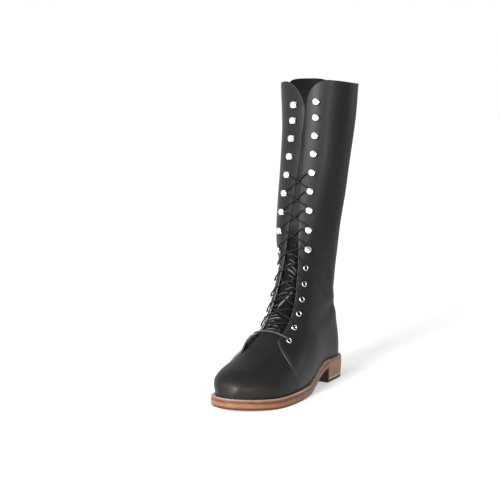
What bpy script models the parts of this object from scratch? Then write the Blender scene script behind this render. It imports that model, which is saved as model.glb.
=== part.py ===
"""Tall lace-up leather boot for the left foot, standing empty on a welted leather sole.

Sizes are in millimetres and turn to metres where a mesh is made. A point of the boot is (x, s, z):
x grows towards the outer side of the foot, s runs along it from the back of the heel, z is the height.
The toe points to -Y and the outer side of the foot to +X.
"""
from collections import namedtuple

import bmesh
import bpy
import numpy as np
from mathutils import Matrix, Vector

MM = 0.001
GAP = 0.3  # clearance between pieces that touch
WELD = 0.000001  # metres, points closer than this are one

# Driving sizes
FOOT_LENGTH = 276.0  # outsole, heel to toe
BOOT_HEIGHT = 403.0  # collar above the floor
CENTRE_X = 6.6  # middle of the boot's box across, the shaft leaning to the outer side
CENTRE_S = 138.5  # and along the foot
WALL = 2.0  # upper leather
HEEL_LIFT = 18.5  # heel below the outsole
HEEL_LENGTH = 68.0
TOP_PIECE = 4.0  # wearing layer of the heel
HEEL_TAPER = 0.965  # heel's lower end against its upper end
OUTSOLE = 9.2
WELT = 3.8
INSOLE = 3.4
PLATE_EASE = 0.5  # welt and rand are this much thinner than their step, for the slope of the arch
RIM_GAP = 0.8  # upper's lower rim above the welt
TREAD_START = 142.0  # forefoot lies flat on the floor from here
TREAD_END = 205.0  # and from here the toe springs up
TOE_SPRING = 5.5
SPRING_POWER = 1.9

# Outline of the sole
HEEL_ROUND = 30.0
TOE_ROUND = 62.0
TOE_FULLNESS = 2.25
TOE_BLUNTNESS = 1.95
END_MARGIN = 0.35  # the first and last cuts of a plate, just inside its tips
PLATE_CUTS = 36
PLATE_COLUMNS = 4
RIM_CUTS = 22
Outline = namedtuple("Outline", "share lateral medial axis")
OUTLINE = [
    Outline(0.00, 30.5, 30.5, 0.0),
    Outline(0.10, 31.0, 31.0, 0.0),
    Outline(0.20, 32.2, 31.0, 0.0),
    Outline(0.32, 33.0, 28.0, 1.0),
    Outline(0.43, 36.5, 29.0, 1.5),
    Outline(0.53, 42.5, 34.2, 1.0),
    Outline(0.63, 47.0, 42.5, 0.0),
    Outline(0.71, 48.0, 46.0, -1.0),
    Outline(0.79, 46.5, 46.0, -2.0),
    Outline(0.87, 43.0, 44.5, -3.5),
    Outline(1.00, 35.2, 43.0, -6.0),
]

# The feather line, where the upper meets the welt, lies inside the outline
FEATHER_START = 4.0
FEATHER_END = 271.5
Margin = namedtuple("Margin", "s inset")
FEATHER_MARGIN = [Margin(0, 3.5), Margin(60, 3.5), Margin(100, 4.5), Margin(150, 5.0), Margin(276, 5.0)]
WELT_TUCK = 3.0  # the welt reaches this far in under the upper
INSOLE_INSET = 3.5
INSOLE_RISE = 0.4  # over the welt
RAND_START = 60.0  # heel rand and welt meet here

# Sections of the last and the shaft. Each lies in a plane from the front line of the boot down to its
# base: the feather line on the foot (base_z is None there) and the back seam on the shaft. Crown is the
# fullness of its front quarters, where 2 is an ellipse.
Section = namedtuple("Section", "front_s front_z base_s base_z lateral medial widest crown front_x base_x")
SECTIONS = [
    Section(271.5, 18.4, 271.4, None, 2.2, 2.6, 0.45, 2.00, -6.0, -5.7),
    Section(270.7, 26.0, 270.0, None, 8.0, 9.5, 0.42, 2.10, -6.0, -5.6),
    Section(267.5, 35.0, 266.0, None, 15.8, 17.5, 0.40, 2.20, -6.5, -5.3),
    Section(260.0, 41.5, 257.5, None, 25.0, 26.0, 0.38, 2.20, -7.0, -4.7),
    Section(247.0, 47.0, 243.0, None, 35.3, 34.8, 0.36, 2.15, -7.5, -3.7),
    Section(228.0, 52.0, 222.0, None, 43.4, 41.5, 0.35, 2.10, -8.0, -2.2),
    Section(206.0, 58.5, 197.0, None, 46.5, 42.3, 0.34, 2.05, -8.5, -1.0),
    Section(186.0, 67.5, 170.0, None, 46.0, 38.5, 0.33, 2.05, -8.5, 0.0),
    Section(168.5, 80.5, 143.0, None, 42.5, 34.5, 0.33, 2.10, -7.5, 1.0),
    Section(153.0, 96.0, 115.0, None, 39.0, 31.0, 0.34, 2.15, -6.0, 1.5),
    Section(140.0, 114.0, 87.0, None, 36.0, 31.0, 0.36, 2.25, -4.0, 1.0),
    Section(130.0, 133.0, 60.0, None, 33.2, 32.5, 0.38, 2.40, -2.5, 0.0),
    Section(123.4, 150.0, 37.0, None, 31.4, 33.0, 0.39, 2.50, -1.5, 0.0),
    Section(119.3, 162.0, 20.0, None, 30.4, 33.0, 0.39, 2.60, -1.0, 0.0),
    Section(116.9, 170.0, 10.5, None, 29.9, 33.0, 0.39, 2.66, -1.0, 0.0),
    Section(115.5, 175.0, 5.8, None, 29.7, 33.0, 0.40, 2.70, -1.0, 0.0),
    Section(114.5, 179.0, 4.0, None, 29.7, 33.0, 0.41, 2.71, -1.0, 0.0),
    Section(113.3, 184.0, 4.0, 42.0, 29.8, 33.5, 0.43, 2.70, -1.0, -0.5),
    Section(111.9, 191.0, 5.4, 60.0, 30.3, 34.5, 0.45, 2.65, -1.0, -1.5),
    Section(110.3, 201.0, 11.0, 82.0, 31.4, 36.0, 0.47, 2.55, -1.0, -2.5),
    Section(108.8, 214.0, 16.5, 110.0, 33.4, 38.5, 0.49, 2.45, -0.5, -3.5),
    Section(107.4, 234.0, 17.0, 146.0, 37.0, 41.0, 0.50, 2.36, 1.0, -4.0),
    Section(106.2, 262.0, 13.0, 196.0, 41.0, 43.5, 0.50, 2.28, 3.5, -4.0),
    Section(104.8, 300.0, 7.5, 255.0, 45.0, 46.0, 0.50, 2.20, 8.0, -1.0),
    Section(103.2, 347.0, 3.0, 325.0, 49.0, 49.0, 0.50, 2.15, 11.5, 3.0),
    Section(102.0, 403.0, 1.0, 403.0, 52.5, 52.5, 0.50, 2.10, 13.0, 5.0),
]
BACK_SEAM_START = 16  # from this section up, both sides meet at the back
BACK_BLEND = 4.0  # sections over which the heel's rounding turns to the shaft's
SEAM_EASE = 0.02  # the feather line is read this much of a section short of the back seam
SECTION_STEPS = 48

# Throat: half its width along the skin, by the height of the front line
Throat = namedtuple("Throat", "z half")
THROAT = [
    Throat(60, 20.0), Throat(70, 19.0), Throat(90, 17.0), Throat(118, 15.0), Throat(160, 12.0),
    Throat(207, 8.0), Throat(256, 4.5), Throat(305, 3.0), Throat(403, 1.5),
]
THROAT_START = 7.5  # section where the throat opens
CENTRE_SHARE = 0.28  # most of a small toe section that the vamp's middle strip takes
CORNER_RADIUS = 31.0  # rounded upper corner of each facing
CORNER_BLEND = 70.0  # height below the collar that the rounding draws on

# Upper's grid
UPPER_CUTS = list(range(0, 4)) + [4 + 0.5 * i for i in range(14)] + list(range(11, 16))
UPPER_CUTS += [16 + 0.5 * i for i in range(8)] + list(range(20, 26))
SIDE_COLUMNS = 12
CENTRE_COLUMNS = 4
COLUMN_CROWDING = 0.4  # columns crowd towards the facing and the base

# Tongue
TONGUE = 1.6
TONGUE_DEPTH = WALL + 1.1  # its face below the skin
TONGUE_START = 6.6
TONGUE_ABOVE = 3.0  # over the collar
TONGUE_COLUMNS = 6
TONGUE_CUTS = 26
TONGUE_HALF = [Throat(55, 25.0), Throat(90, 29.0), Throat(160, 33.0), Throat(403, 36.0)]

# Eyelets and hooks, by the height of the front line
FACING_MARGIN = 13.5  # throat edge to the middle of an eyelet or hook
EYELET_HEIGHTS = [83.0, 98.0, 114.0, 131.5, 150.5, 170.0]
HOOK_HEIGHTS = [192.0, 215.0, 238.5, 262.0, 285.5, 309.0, 332.0, 355.0, 375.0]
MEDIAL_HOOK_DROP = 4.0  # the inner hooks sit a little lower
EYELET_BORE = 2.0
EYELET_BARREL = 2.6
EYELET_FLANGE = 4.0
EYELET_TOP = 1.1
EYELET_SIDES = 10
BARREL_END = -WALL - 0.5
EYELET_HOLE = EYELET_BARREL + 0.45
HOOK_WIDTH = 7.0
HookPoint = namedtuple("HookPoint", "out up")
HOOK_PROFILE = [
    HookPoint(3.5, 0.35), HookPoint(3.5, 1.25), HookPoint(-2.6, 1.25), HookPoint(-3.4, 1.9),
    HookPoint(-3.4, 3.3), HookPoint(-2.6, 3.9), HookPoint(2.6, 4.2), HookPoint(3.6, 4.9),
    HookPoint(3.0, 5.4), HookPoint(-2.8, 4.9), HookPoint(-4.3, 3.8), HookPoint(-4.3, 0.35),
]

# Lace
LACE_RADIUS = 1.0
LACE_POINTS = 7
LACE_TURN = 0.25  # share of a strand at each end that rises or dips
LACE_LIFT = 1.5  # middle of the lace above the skin
BAR_LIFT = 2.2  # and of the lowest bar, which clears its eyelets
EYELET_LIFT = 2.6  # and over an eyelet's flange
EDGE_LIFT = 0.4  # and where it dips under a facing
EDGE_CLEARANCE = 1.8  # from the facing's edge
HOOK_CLEARANCE = 7.6  # from the middle of a hook
HOOK_STEP = 3.0  # lace ends below and above a hook
LACED_HOOKS = 5

LATERAL = 1
MEDIAL = -1
SIDE_NAMES = {LATERAL: "outer", MEDIAL: "inner"}

Finish = namedtuple("Finish", "colour roughness metallic")
BLACK_LEATHER = Finish((0.030, 0.029, 0.028), 0.42, 0.0)
TONGUE_LEATHER = Finish((0.022, 0.021, 0.020), 0.55, 0.0)
SOLE_LEATHER = Finish((0.42, 0.22, 0.13), 0.55, 0.0)
HEEL_LEATHER = Finish((0.33, 0.19, 0.13), 0.55, 0.0)
INSOLE_LEATHER = Finish((0.50, 0.34, 0.20), 0.70, 0.0)
HEEL_RUBBER = Finish((0.020, 0.018, 0.017), 0.70, 0.0)
NICKEL = Finish((0.80, 0.79, 0.77), 0.22, 1.0)
LACE_CORD = Finish((0.018, 0.018, 0.018), 0.80, 0.0)


def smooth(knots, values, at):
    """Cubic through the knots, level where the values turn."""
    knots = np.asarray(knots, float)
    values = np.asarray(values, float)
    span = np.diff(knots)
    rise = np.diff(values) / span
    slope = np.empty(len(knots))
    slope[0] = rise[0]
    slope[-1] = rise[-1]
    slope[1:-1] = (rise[:-1] * span[1:] + rise[1:] * span[:-1]) / (span[1:] + span[:-1])
    slope[1:-1][rise[:-1] * rise[1:] <= 0] = 0.0
    i = np.clip(np.searchsorted(knots, at) - 1, 0, len(knots) - 2)
    t = np.clip((at - knots[i]) / span[i], 0, 1)
    return (
        (2 * t**3 - 3 * t**2 + 1) * values[i]
        + (t**3 - 2 * t**2 + t) * span[i] * slope[i]
        + (3 * t**2 - 2 * t**3) * values[i + 1]
        + (t**3 - t**2) * span[i] * slope[i + 1]
    )


def straight(table, at):
    """Straight-line reading of a two-column table."""
    return np.interp(at, [row[0] for row in table], [row[1] for row in table])


def end_rounding(s, start, end):
    """Share of the half-width left near the round heel and toe."""
    heel = np.clip((s - start) / HEEL_ROUND, 0, 1)
    toe = np.clip((end - s) / TOE_ROUND, 0, 1)
    heel_share = np.sqrt(1 - (1 - heel) ** 2)
    toe_share = (1 - (1 - toe) ** TOE_FULLNESS) ** (1 / TOE_BLUNTNESS)
    return heel_share * toe_share


def half_width(side, s, inset=0.0, start=0.0, end=FOOT_LENGTH):
    """Half-width of the sole's outline, or of a line inset from it."""
    shares = [row.share * FOOT_LENGTH for row in OUTLINE]
    widths = [row.lateral if side == LATERAL else row.medial for row in OUTLINE]
    return (smooth(shares, widths, s) - inset) * end_rounding(s, start, end)


def sole_axis(s):
    """Middle line of the sole, which the half-widths are measured from."""
    return smooth([row.share * FOOT_LENGTH for row in OUTLINE], [row.axis for row in OUTLINE], s)


def underside(s):
    """Height of the outsole's underside: heel seat, arch, flat tread and toe spring."""
    arch = np.clip((s - HEEL_LENGTH) / (TREAD_START - HEEL_LENGTH), 0, 1)
    toe = np.clip((s - TREAD_END) / (FOOT_LENGTH - TREAD_END), 0, 1)
    return HEEL_LIFT * (1 - arch**2 * (3 - 2 * arch)) + TOE_SPRING * toe**SPRING_POWER


def sole_top(s):
    """Height of the outsole's upper face."""
    return underside(s) + OUTSOLE


def feather_top(s):
    """Height of the welt's upper face."""
    return sole_top(s) + WELT


def feather_half(side, s, inset=0.0):
    """Half-width of the feather line, or of a line inset from it."""
    margin = straight(FEATHER_MARGIN, s) + inset
    return half_width(side, s, margin, FEATHER_START + inset, FEATHER_END - inset)


def upper_rim(s):
    """Height of the upper's lower rim, just above the welt."""
    return feather_top(s) + RIM_GAP


def insole_half(side, s):
    """Half-width of the insole, inside the upper's rim."""
    return feather_half(side, s, INSOLE_INSET)


def insole_top(s):
    """Height of the insole's face."""
    return feather_top(s) + INSOLE_RISE


COLUMNS = {}
for column_name in Section._fields:
    COLUMNS[column_name] = [getattr(row, column_name) for row in SECTIONS]
for row_number, row in enumerate(SECTIONS):
    if row.base_z is None:
        COLUMNS["base_z"][row_number] = upper_rim(row.base_s)


def column(name, u):
    """Smooth reading of one column of the section table at section number u."""
    return float(smooth(range(len(SECTIONS)), COLUMNS[name], u))


def back_line(z):
    """Back of the boot at height z, as its s."""
    return smooth(COLUMNS["base_z"][BACK_SEAM_START:], COLUMNS["base_s"][BACK_SEAM_START:], z)


def back_reach(u):
    """Distance from the back of the boot to where section u is widest, which rounds the back."""
    u = max(u, BACK_SEAM_START)
    share = column("widest", u)
    s = column("base_s", u) * (1 - share) + column("front_s", u) * share
    z = column("base_z", u) * (1 - share) + column("front_z", u) * share
    return s - back_line(z)


def back_share(distance, u):
    """Share of the half-width left at a distance from the back of the boot."""
    return np.sqrt(1 - (1 - np.clip(distance / back_reach(u), 0, 1)) ** 2)


def low_width(u, side, wide):
    """Half-width at the base of section u before the back rounds it off, the feather's turning to wide."""
    foot_s = column("base_s", min(u, BACK_SEAM_START - SEAM_EASE))
    foot_u = min(u, BACK_SEAM_START)
    foot_wide = feather_half(side, foot_s) / back_share(foot_s - FEATHER_START, foot_u)
    blend = np.clip((u - BACK_SEAM_START) / BACK_BLEND, 0, 1)
    return foot_wide + (wide - foot_wide) * blend**2 * (3 - 2 * blend)


def section(u, side):
    """Points (x, s, z) of one side of section u, from the front line to the base."""
    on_foot = u < BACK_SEAM_START
    front = np.array([column("front_s", u), column("front_z", u)])
    base_s = column("base_s", u)
    base = np.array([base_s, upper_rim(base_s) if on_foot else column("base_z", u)])
    seat = feather_half(side, base_s) if on_foot else 0.0
    wide = max(column("lateral" if side == LATERAL else "medial", u), seat + GAP)
    widest = column("widest", u)
    power = 2 / column("crown", u)
    upper_turn = np.linspace(np.pi / 2, 0, SECTION_STEPS)
    lower_turn = np.linspace(0, np.pi / 2, SECTION_STEPS)[1:]
    over_rise = widest + (1 - widest) * np.sin(upper_turn) ** power
    under_rise = widest * (1 - np.sin(lower_turn))
    share = np.concatenate([over_rise, under_rise])
    points = np.empty((len(share), 3))
    points[:, 1:] = base + np.outer(share, front - base)
    over = wide * np.clip(np.cos(upper_turn), 0, 1) ** power
    s, z = points[len(over):, 1:].T
    lead = base_s - FEATHER_START if on_foot else 0.0
    distance = lead + (s - base_s) - (back_line(z) - back_line(base[1]))
    low_wide = low_width(u, side, wide)
    under = back_share(distance, u) * (low_wide + (wide - low_wide) * np.cos(lower_turn))
    middle = column("base_x", u) * (1 - share) + column("front_x", u) * share
    points[:, 0] = middle + side * np.concatenate([over, under])
    return points


def arc_length(points):
    """Distance along a run of points, from its first one."""
    return np.concatenate([[0.0], np.cumsum(np.linalg.norm(np.diff(points, axis=0), axis=1))])


def along(points, arcs):
    """Points at the given distances along a run of points."""
    reach = arc_length(points)
    return np.stack([np.interp(arcs, reach, points[:, k]) for k in range(3)], axis=1)


def section_at(z):
    """Section number whose front line is at height z."""
    numbers = np.linspace(4, len(SECTIONS) - 1, 400)
    heights = smooth(range(len(SECTIONS)), COLUMNS["front_z"], numbers)
    return float(np.interp(z, heights, numbers))


def throat_half(u):
    """Distance along the skin from the front line to the edge of the throat."""
    return float(straight(THROAT, column("front_z", u)))


def place(points):
    """Boot points (x, s, z) in millimetres to world points in metres."""
    points = np.asarray(points, float)
    world = np.empty_like(points)
    world[..., 0] = points[..., 0] - CENTRE_X
    world[..., 1] = CENTRE_S - points[..., 1]
    world[..., 2] = points[..., 2]
    return world * MM


def skin(u, arc):
    """World point of the skin at section u, arc from the front line, below zero on the inner side."""
    side = LATERAL if arc >= 0 else MEDIAL
    return place(along(section(u, side), [abs(arc)])[0])


def skin_frame(u, arc):
    """Skin point with the directions across the facing, up it and out of the skin."""
    step_u = 0.03
    step_arc = 0.6
    across = skin(u, arc + step_arc) - skin(u, arc - step_arc)
    out = np.cross(across, skin(u + step_u, arc) - skin(u - step_u, arc))
    across /= np.linalg.norm(across)
    out /= np.linalg.norm(out)
    return skin(u, arc), across, np.cross(out, across), out


def frame_matrix(point, x_axis, y_axis, z_axis):
    """Placing matrix from a point and three directions."""
    matrix = Matrix.Identity(4)
    for k, axis in enumerate((x_axis, y_axis, z_axis, point)):
        for i in range(3):
            matrix[i][k] = axis[i]
    return matrix


def add_object(name, data, finish, collection):
    """New object in its collection, with its own material."""
    obj = bpy.data.objects.new(name, data)
    collection.objects.link(obj)
    material = bpy.data.materials.new(name)
    material.use_nodes = True
    shader = material.node_tree.nodes["Principled BSDF"]
    shader.inputs["Base Color"].default_value = (*finish.colour, 1.0)
    shader.inputs["Roughness"].default_value = finish.roughness
    shader.inputs["Metallic"].default_value = finish.metallic
    if not data.materials:
        data.materials.append(None)
    obj.material_slots[0].link = "OBJECT"
    obj.material_slots[0].material = material
    return obj


def hide_cutter(obj):
    """Keep a cutter out of the finished boot."""
    obj.hide_render = True
    obj.display_type = "WIRE"


def mesh_object(name, shape, finish, collection):
    """Object from a finished bmesh."""
    mesh = bpy.data.meshes.new(name)
    shape.to_mesh(mesh)
    shape.free()
    return add_object(name, mesh, finish, collection)


def sheet(name, rows, thickness, finish, collection):
    """Open surface through rows of world points, thickened below its face. None leaves an opening."""
    shape = bmesh.new()
    lines = []
    for row in rows:
        lines.append([None if point is None else shape.verts.new(point) for point in row])
    for low, high in zip(lines, lines[1:]):
        for corners in zip(low, low[1:], high[1:], high):
            if None not in corners:
                shape.faces.new(corners)
    bmesh.ops.remove_doubles(shape, verts=shape.verts, dist=WELD)
    obj = mesh_object(name, shape, finish, collection)
    obj.data.shade_smooth()
    solid = obj.modifiers.new("thickness", "SOLIDIFY")
    solid.thickness = thickness * MM
    solid.offset = -1
    return obj


def plate_rows(half, top, start, end):
    """Rows across a plate from its outer to its inner edge, crowded towards heel and toe."""
    rows = []
    for turn in np.linspace(0, np.pi, PLATE_CUTS):
        s = start + (end - start) * (1 - np.cos(turn)) / 2
        outer = sole_axis(s) + half(LATERAL, s)
        inner = sole_axis(s) - half(MEDIAL, s)
        rows.append(place([(x, s, top(s)) for x in np.linspace(outer, inner, PLATE_COLUMNS + 1)]))
    return rows


def rim_rows(start, outline_tip, inner_tip):
    """Rows across a strip under the feather line, from the outer side round one end to the inner side."""
    runs = {}
    for side in (LATERAL, MEDIAL):
        runs[side] = []
        for turn in np.sin(np.linspace(0, np.pi / 2, RIM_CUTS)):
            outer_s = start + (outline_tip - start) * turn
            inner_s = start + (inner_tip - start) * turn
            outer = (sole_axis(outer_s) + side * half_width(side, outer_s), outer_s, feather_top(outer_s))
            inset = sole_axis(inner_s) + side * feather_half(side, inner_s, WELT_TUCK)
            runs[side].append(place([outer, (inset, inner_s, feather_top(inner_s))]))
    return runs[LATERAL] + runs[MEDIAL][-2::-1]


def heel_outline():
    """Outline of the heel from the breast round the back, as (x, s)."""
    turns = HEEL_LENGTH * np.sin(np.linspace(0, np.pi / 2, RIM_CUTS // 2))
    outer = [(sole_axis(s) + half_width(LATERAL, s), s) for s in HEEL_LENGTH - turns]
    inner = [(sole_axis(s) - half_width(MEDIAL, s), s) for s in HEEL_LENGTH - turns]
    return outer + inner[-2::-1]


def heel_block(name, low, high, scale_low, scale_high, finish, collection):
    """Slice of the heel between two heights, each end drawn in by its scale."""
    outline = np.array(heel_outline())
    middle = outline.mean(axis=0)
    shape = bmesh.new()
    upper = middle + (outline - middle) * scale_high
    face = shape.faces.new([shape.verts.new(place((x, s, high))) for x, s in upper])
    extruded = bmesh.ops.extrude_face_region(shape, geom=[face])["geom"]
    lower = [item for item in extruded if isinstance(item, bmesh.types.BMVert)]
    bmesh.ops.translate(shape, verts=lower, vec=(0, 0, (low - high) * MM))
    centre = Vector(place((*middle, low)))
    shrink = scale_low / scale_high
    bmesh.ops.scale(shape, verts=lower, vec=(shrink, shrink, 1), space=Matrix.Translation(-centre))
    bmesh.ops.recalc_face_normals(shape, faces=shape.faces)
    return mesh_object(name, shape, finish, collection)


def round_corner(points, edge_distance):
    """Lower the skin near the throat's edge, so that the collar ends in a rounded corner."""
    reach = np.clip(CORNER_RADIUS - edge_distance, 0, CORNER_RADIUS)
    drop = CORNER_RADIUS - np.sqrt(CORNER_RADIUS**2 - reach**2)
    share = np.clip(1 - (BOOT_HEIGHT - points[:, 2]) / CORNER_BLEND, 0, 1)
    lowered = points.copy()
    lowered[:, 2] -= drop * share
    return lowered


def upper_row(u):
    """Row of the upper from the inner base over the front line to the outer base."""
    halves = {}
    middles = {}
    for side in (LATERAL, MEDIAL):
        points = section(u, side)
        length = arc_length(points)[-1]
        edge = min(throat_half(u), CENTRE_SHARE * length)
        turns = np.linspace(0, 1, SIDE_COLUMNS + 1)
        shares = turns - COLUMN_CROWDING * np.sin(2 * np.pi * turns) / (2 * np.pi)
        arcs = edge + (length - edge) * shares
        halves[side] = list(place(round_corner(along(points, arcs), arcs - edge)))
        middles[side] = list(place(along(points, np.linspace(0, edge, CENTRE_COLUMNS // 2 + 1)[:-1])))
    if u > THROAT_START:
        middle = [None] * (CENTRE_COLUMNS - 1)
    else:
        middle = middles[MEDIAL][:0:-1] + middles[LATERAL]
    return halves[MEDIAL][::-1] + middle + halves[LATERAL]


def tongue_rows():
    """Rows of the tongue's face under the throat, from the vamp to just over the collar."""
    rows = []
    for z in np.linspace(column("front_z", TONGUE_START), BOOT_HEIGHT + TONGUE_ABOVE, TONGUE_CUTS):
        u = min(section_at(z), len(SECTIONS) - 1.1)
        rise = z - column("front_z", u)
        half = straight(TONGUE_HALF, z)
        row = []
        for arc in np.linspace(-half, half, TONGUE_COLUMNS + 1):
            point, _, _, out = skin_frame(u, arc)
            row.append(point - out * TONGUE_DEPTH * MM + np.array((0, 0, rise * MM)))
        rows.append(row)
    return rows


def hook_heights(side):
    """Heights of one side's hooks."""
    return [z if side == LATERAL else z - MEDIAL_HOOK_DROP for z in HOOK_HEIGHTS]


def facing_frame(side, z):
    """Frame of the eyelet or hook at height z on one side."""
    u = section_at(z)
    return skin_frame(u, side * (throat_half(u) + FACING_MARGIN))


def eyelet_mesh():
    """Profile of an eyelet: flange over the leather and barrel through it."""
    profile = [
        (EYELET_BORE, EYELET_TOP), (EYELET_FLANGE, EYELET_TOP - GAP), (EYELET_FLANGE, GAP),
        (EYELET_BARREL, GAP), (EYELET_BARREL, BARREL_END), (EYELET_BORE, BARREL_END),
    ]
    shape = bmesh.new()
    ring = [shape.verts.new((radius * MM, 0, height * MM)) for radius, height in profile]
    for a, b in zip(ring, ring[1:] + ring[:1]):
        shape.edges.new((a, b))
    mesh = bpy.data.meshes.new("eyelet")
    shape.to_mesh(mesh)
    shape.free()
    return mesh


def add_eyelets(collection):
    """Six turned eyelets on each facing."""
    mesh = eyelet_mesh()
    for side in (LATERAL, MEDIAL):
        for number, z in enumerate(EYELET_HEIGHTS, 1):
            eyelet = add_object(f"eyelet_{SIDE_NAMES[side]}_{number}", mesh, NICKEL, collection)
            eyelet.matrix_world = frame_matrix(*facing_frame(side, z))
            turn = eyelet.modifiers.new("turn", "SCREW")
            turn.steps = EYELET_SIDES
            turn.render_steps = EYELET_SIDES
            turn.use_merge_vertices = True
            turn.merge_threshold = WELD


def eyelet_cutter(collection):
    """Pins that punch the eyelet holes."""
    shape = bmesh.new()
    depth = 4 * WALL * MM
    for side in (LATERAL, MEDIAL):
        for z in EYELET_HEIGHTS:
            bmesh.ops.create_cone(
                shape, cap_ends=True, segments=EYELET_SIDES, radius1=EYELET_HOLE * MM,
                radius2=EYELET_HOLE * MM, depth=depth, matrix=frame_matrix(*facing_frame(side, z)))
    cutter = mesh_object("eyelet_holes", shape, NICKEL, collection)
    hide_cutter(cutter)
    return cutter


def hook_curve():
    """Side outline of a speed hook, open away from the throat."""
    curve = bpy.data.curves.new("hook", "CURVE")
    curve.dimensions = "2D"
    curve.fill_mode = "BOTH"
    curve.extrude = HOOK_WIDTH / 2 * MM
    line = curve.splines.new("POLY")
    line.points.add(len(HOOK_PROFILE) - 1)
    for knot, corner in zip(line.points, HOOK_PROFILE):
        knot.co = (corner.out * MM, corner.up * MM, 0, 1)
    line.use_cyclic_u = True
    return curve


def add_hooks(collection):
    """Nine speed hooks on each facing."""
    curve = hook_curve()
    for side in (LATERAL, MEDIAL):
        for number, z in enumerate(hook_heights(side), 1):
            hook = add_object(f"hook_{SIDE_NAMES[side]}_{number}", curve, NICKEL, collection)
            point, across, _, out = facing_frame(side, z)
            away = side * across
            hook.matrix_world = frame_matrix(point, away, out, np.cross(away, out))


Stop = namedtuple("Stop", "u arc lift")


def lace_stops(side):
    """For each eyelet and laced hook of a side, where the lace arrives and where it leaves."""
    stops = []
    for number, z in enumerate(EYELET_HEIGHTS):
        u = section_at(z)
        edge = throat_half(u)
        arrives = Stop(u, side * (edge - EDGE_CLEARANCE), EDGE_LIFT)
        leaves = Stop(u, side * (edge + FACING_MARGIN), EYELET_LIFT)
        if number == 0:
            leaves = arrives._replace(u=section_at(z + HOOK_STEP))
        stops.append((arrives, leaves))
    for z in hook_heights(side)[:LACED_HOOKS]:
        pair = []
        for height in (z - HOOK_STEP, z + HOOK_STEP):
            u = section_at(height)
            pair.append(Stop(u, side * (throat_half(u) + FACING_MARGIN - HOOK_CLEARANCE), LACE_LIFT))
        stops.append(tuple(pair))
    return stops


def strand_points(start, stop, middle=LACE_LIFT):
    """Lace from one stop to another over the front of the boot."""
    points = []
    for t in np.linspace(0, 1, LACE_POINTS):
        u = start.u + (stop.u - start.u) * t
        point, _, _, out = skin_frame(u, start.arc + (stop.arc - start.arc) * t)
        lifts = (start.lift, middle, middle, stop.lift)
        lift = np.interp(t, (0, LACE_TURN, 1 - LACE_TURN, 1), lifts)
        points.append(point + out * lift * MM)
    return points


def lace_tube(name, points, collection):
    """Round cord through the points."""
    curve = bpy.data.curves.new(name, "CURVE")
    curve.dimensions = "3D"
    curve.bevel_depth = LACE_RADIUS * MM
    curve.bevel_resolution = 1
    curve.use_fill_caps = True
    line = curve.splines.new("POLY")
    line.points.add(len(points) - 1)
    for knot, point in zip(line.points, points):
        knot.co = (*point, 1)
    return add_object(name, curve, LACE_CORD, collection)


def lace_solid(name, points, collection):
    """Closed mesh of one strand, fit for joining."""
    tube = lace_tube(name, points, collection)
    bpy.context.view_layer.update()
    mesh = bpy.data.meshes.new_from_object(tube.evaluated_get(bpy.context.evaluated_depsgraph_get()))
    bpy.data.objects.remove(tube)
    shape = bmesh.new()
    shape.from_mesh(mesh)
    bmesh.ops.remove_doubles(shape, verts=shape.verts, dist=WELD)
    bpy.data.meshes.remove(mesh)
    return mesh_object(name, shape, LACE_CORD, collection)


def add_lace(collection, cutters):
    """Straight bar at the lowest eyelets, then crossings up to the last laced hooks."""
    u = section_at(EYELET_HEIGHTS[0])
    reach = throat_half(u) + FACING_MARGIN
    bar = strand_points(Stop(u, -reach, EYELET_LIFT), Stop(u, reach, EYELET_LIFT), BAR_LIFT)
    lace_tube("lace_bar", bar, collection)
    outer = lace_stops(LATERAL)
    inner = lace_stops(MEDIAL)
    for number in range(len(outer) - 1):
        rising_in = strand_points(outer[number][1], inner[number + 1][0])
        rising_out = strand_points(inner[number][1], outer[number + 1][0])
        crossing = lace_solid(f"lace_crossing_{number + 1}", rising_in, collection)
        other = lace_solid(f"lace_strand_{number + 1}", rising_out, cutters)
        hide_cutter(other)
        join = crossing.modifiers.new("join", "BOOLEAN")
        join.operation = "UNION"
        join.solver = "EXACT"
        join.object = other


def add_sole(collection):
    """Outsole, welt, heel rand, heel and insole."""
    rows = plate_rows(half_width, sole_top, END_MARGIN, FOOT_LENGTH - END_MARGIN)
    sheet("outsole", rows, OUTSOLE, SOLE_LEATHER, collection)
    rows = rim_rows(RAND_START + GAP, FOOT_LENGTH, FEATHER_END - WELT_TUCK)
    sheet("welt", rows, WELT - PLATE_EASE, SOLE_LEATHER, collection)
    rows = rim_rows(RAND_START, 0.0, FEATHER_START + WELT_TUCK)
    sheet("heel_rand", rows[::-1], WELT - PLATE_EASE, HEEL_LEATHER, collection)
    first = FEATHER_START + INSOLE_INSET + END_MARGIN
    last = FEATHER_END - INSOLE_INSET - END_MARGIN
    sheet("insole", plate_rows(insole_half, insole_top, first, last), INSOLE, INSOLE_LEATHER, collection)
    middle_scale = 1 - (1 - HEEL_TAPER) * (1 - TOP_PIECE / HEEL_LIFT)
    heel_block("heel_stack", TOP_PIECE + GAP, HEEL_LIFT - GAP, middle_scale, 1.0, HEEL_LEATHER, collection)
    heel_block("heel_top_piece", 0.0, TOP_PIECE, HEEL_TAPER, middle_scale, HEEL_RUBBER, collection)


def add_upper(collection, cutters):
    """Hollow upper, open at collar, throat and underneath, with punched eyelet holes; and its tongue."""
    upper = sheet("upper", [upper_row(u) for u in UPPER_CUTS], WALL, BLACK_LEATHER, collection)
    punch = upper.modifiers.new("eyelet_holes", "BOOLEAN")
    punch.operation = "DIFFERENCE"
    punch.solver = "EXACT"
    punch.object = eyelet_cutter(cutters)
    sheet("tongue", tongue_rows(), TONGUE, TONGUE_LEATHER, collection)


def new_collection(name):
    """Collection linked to the scene."""
    collection = bpy.data.collections.new(name)
    bpy.context.scene.collection.children.link(collection)
    return collection


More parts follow.
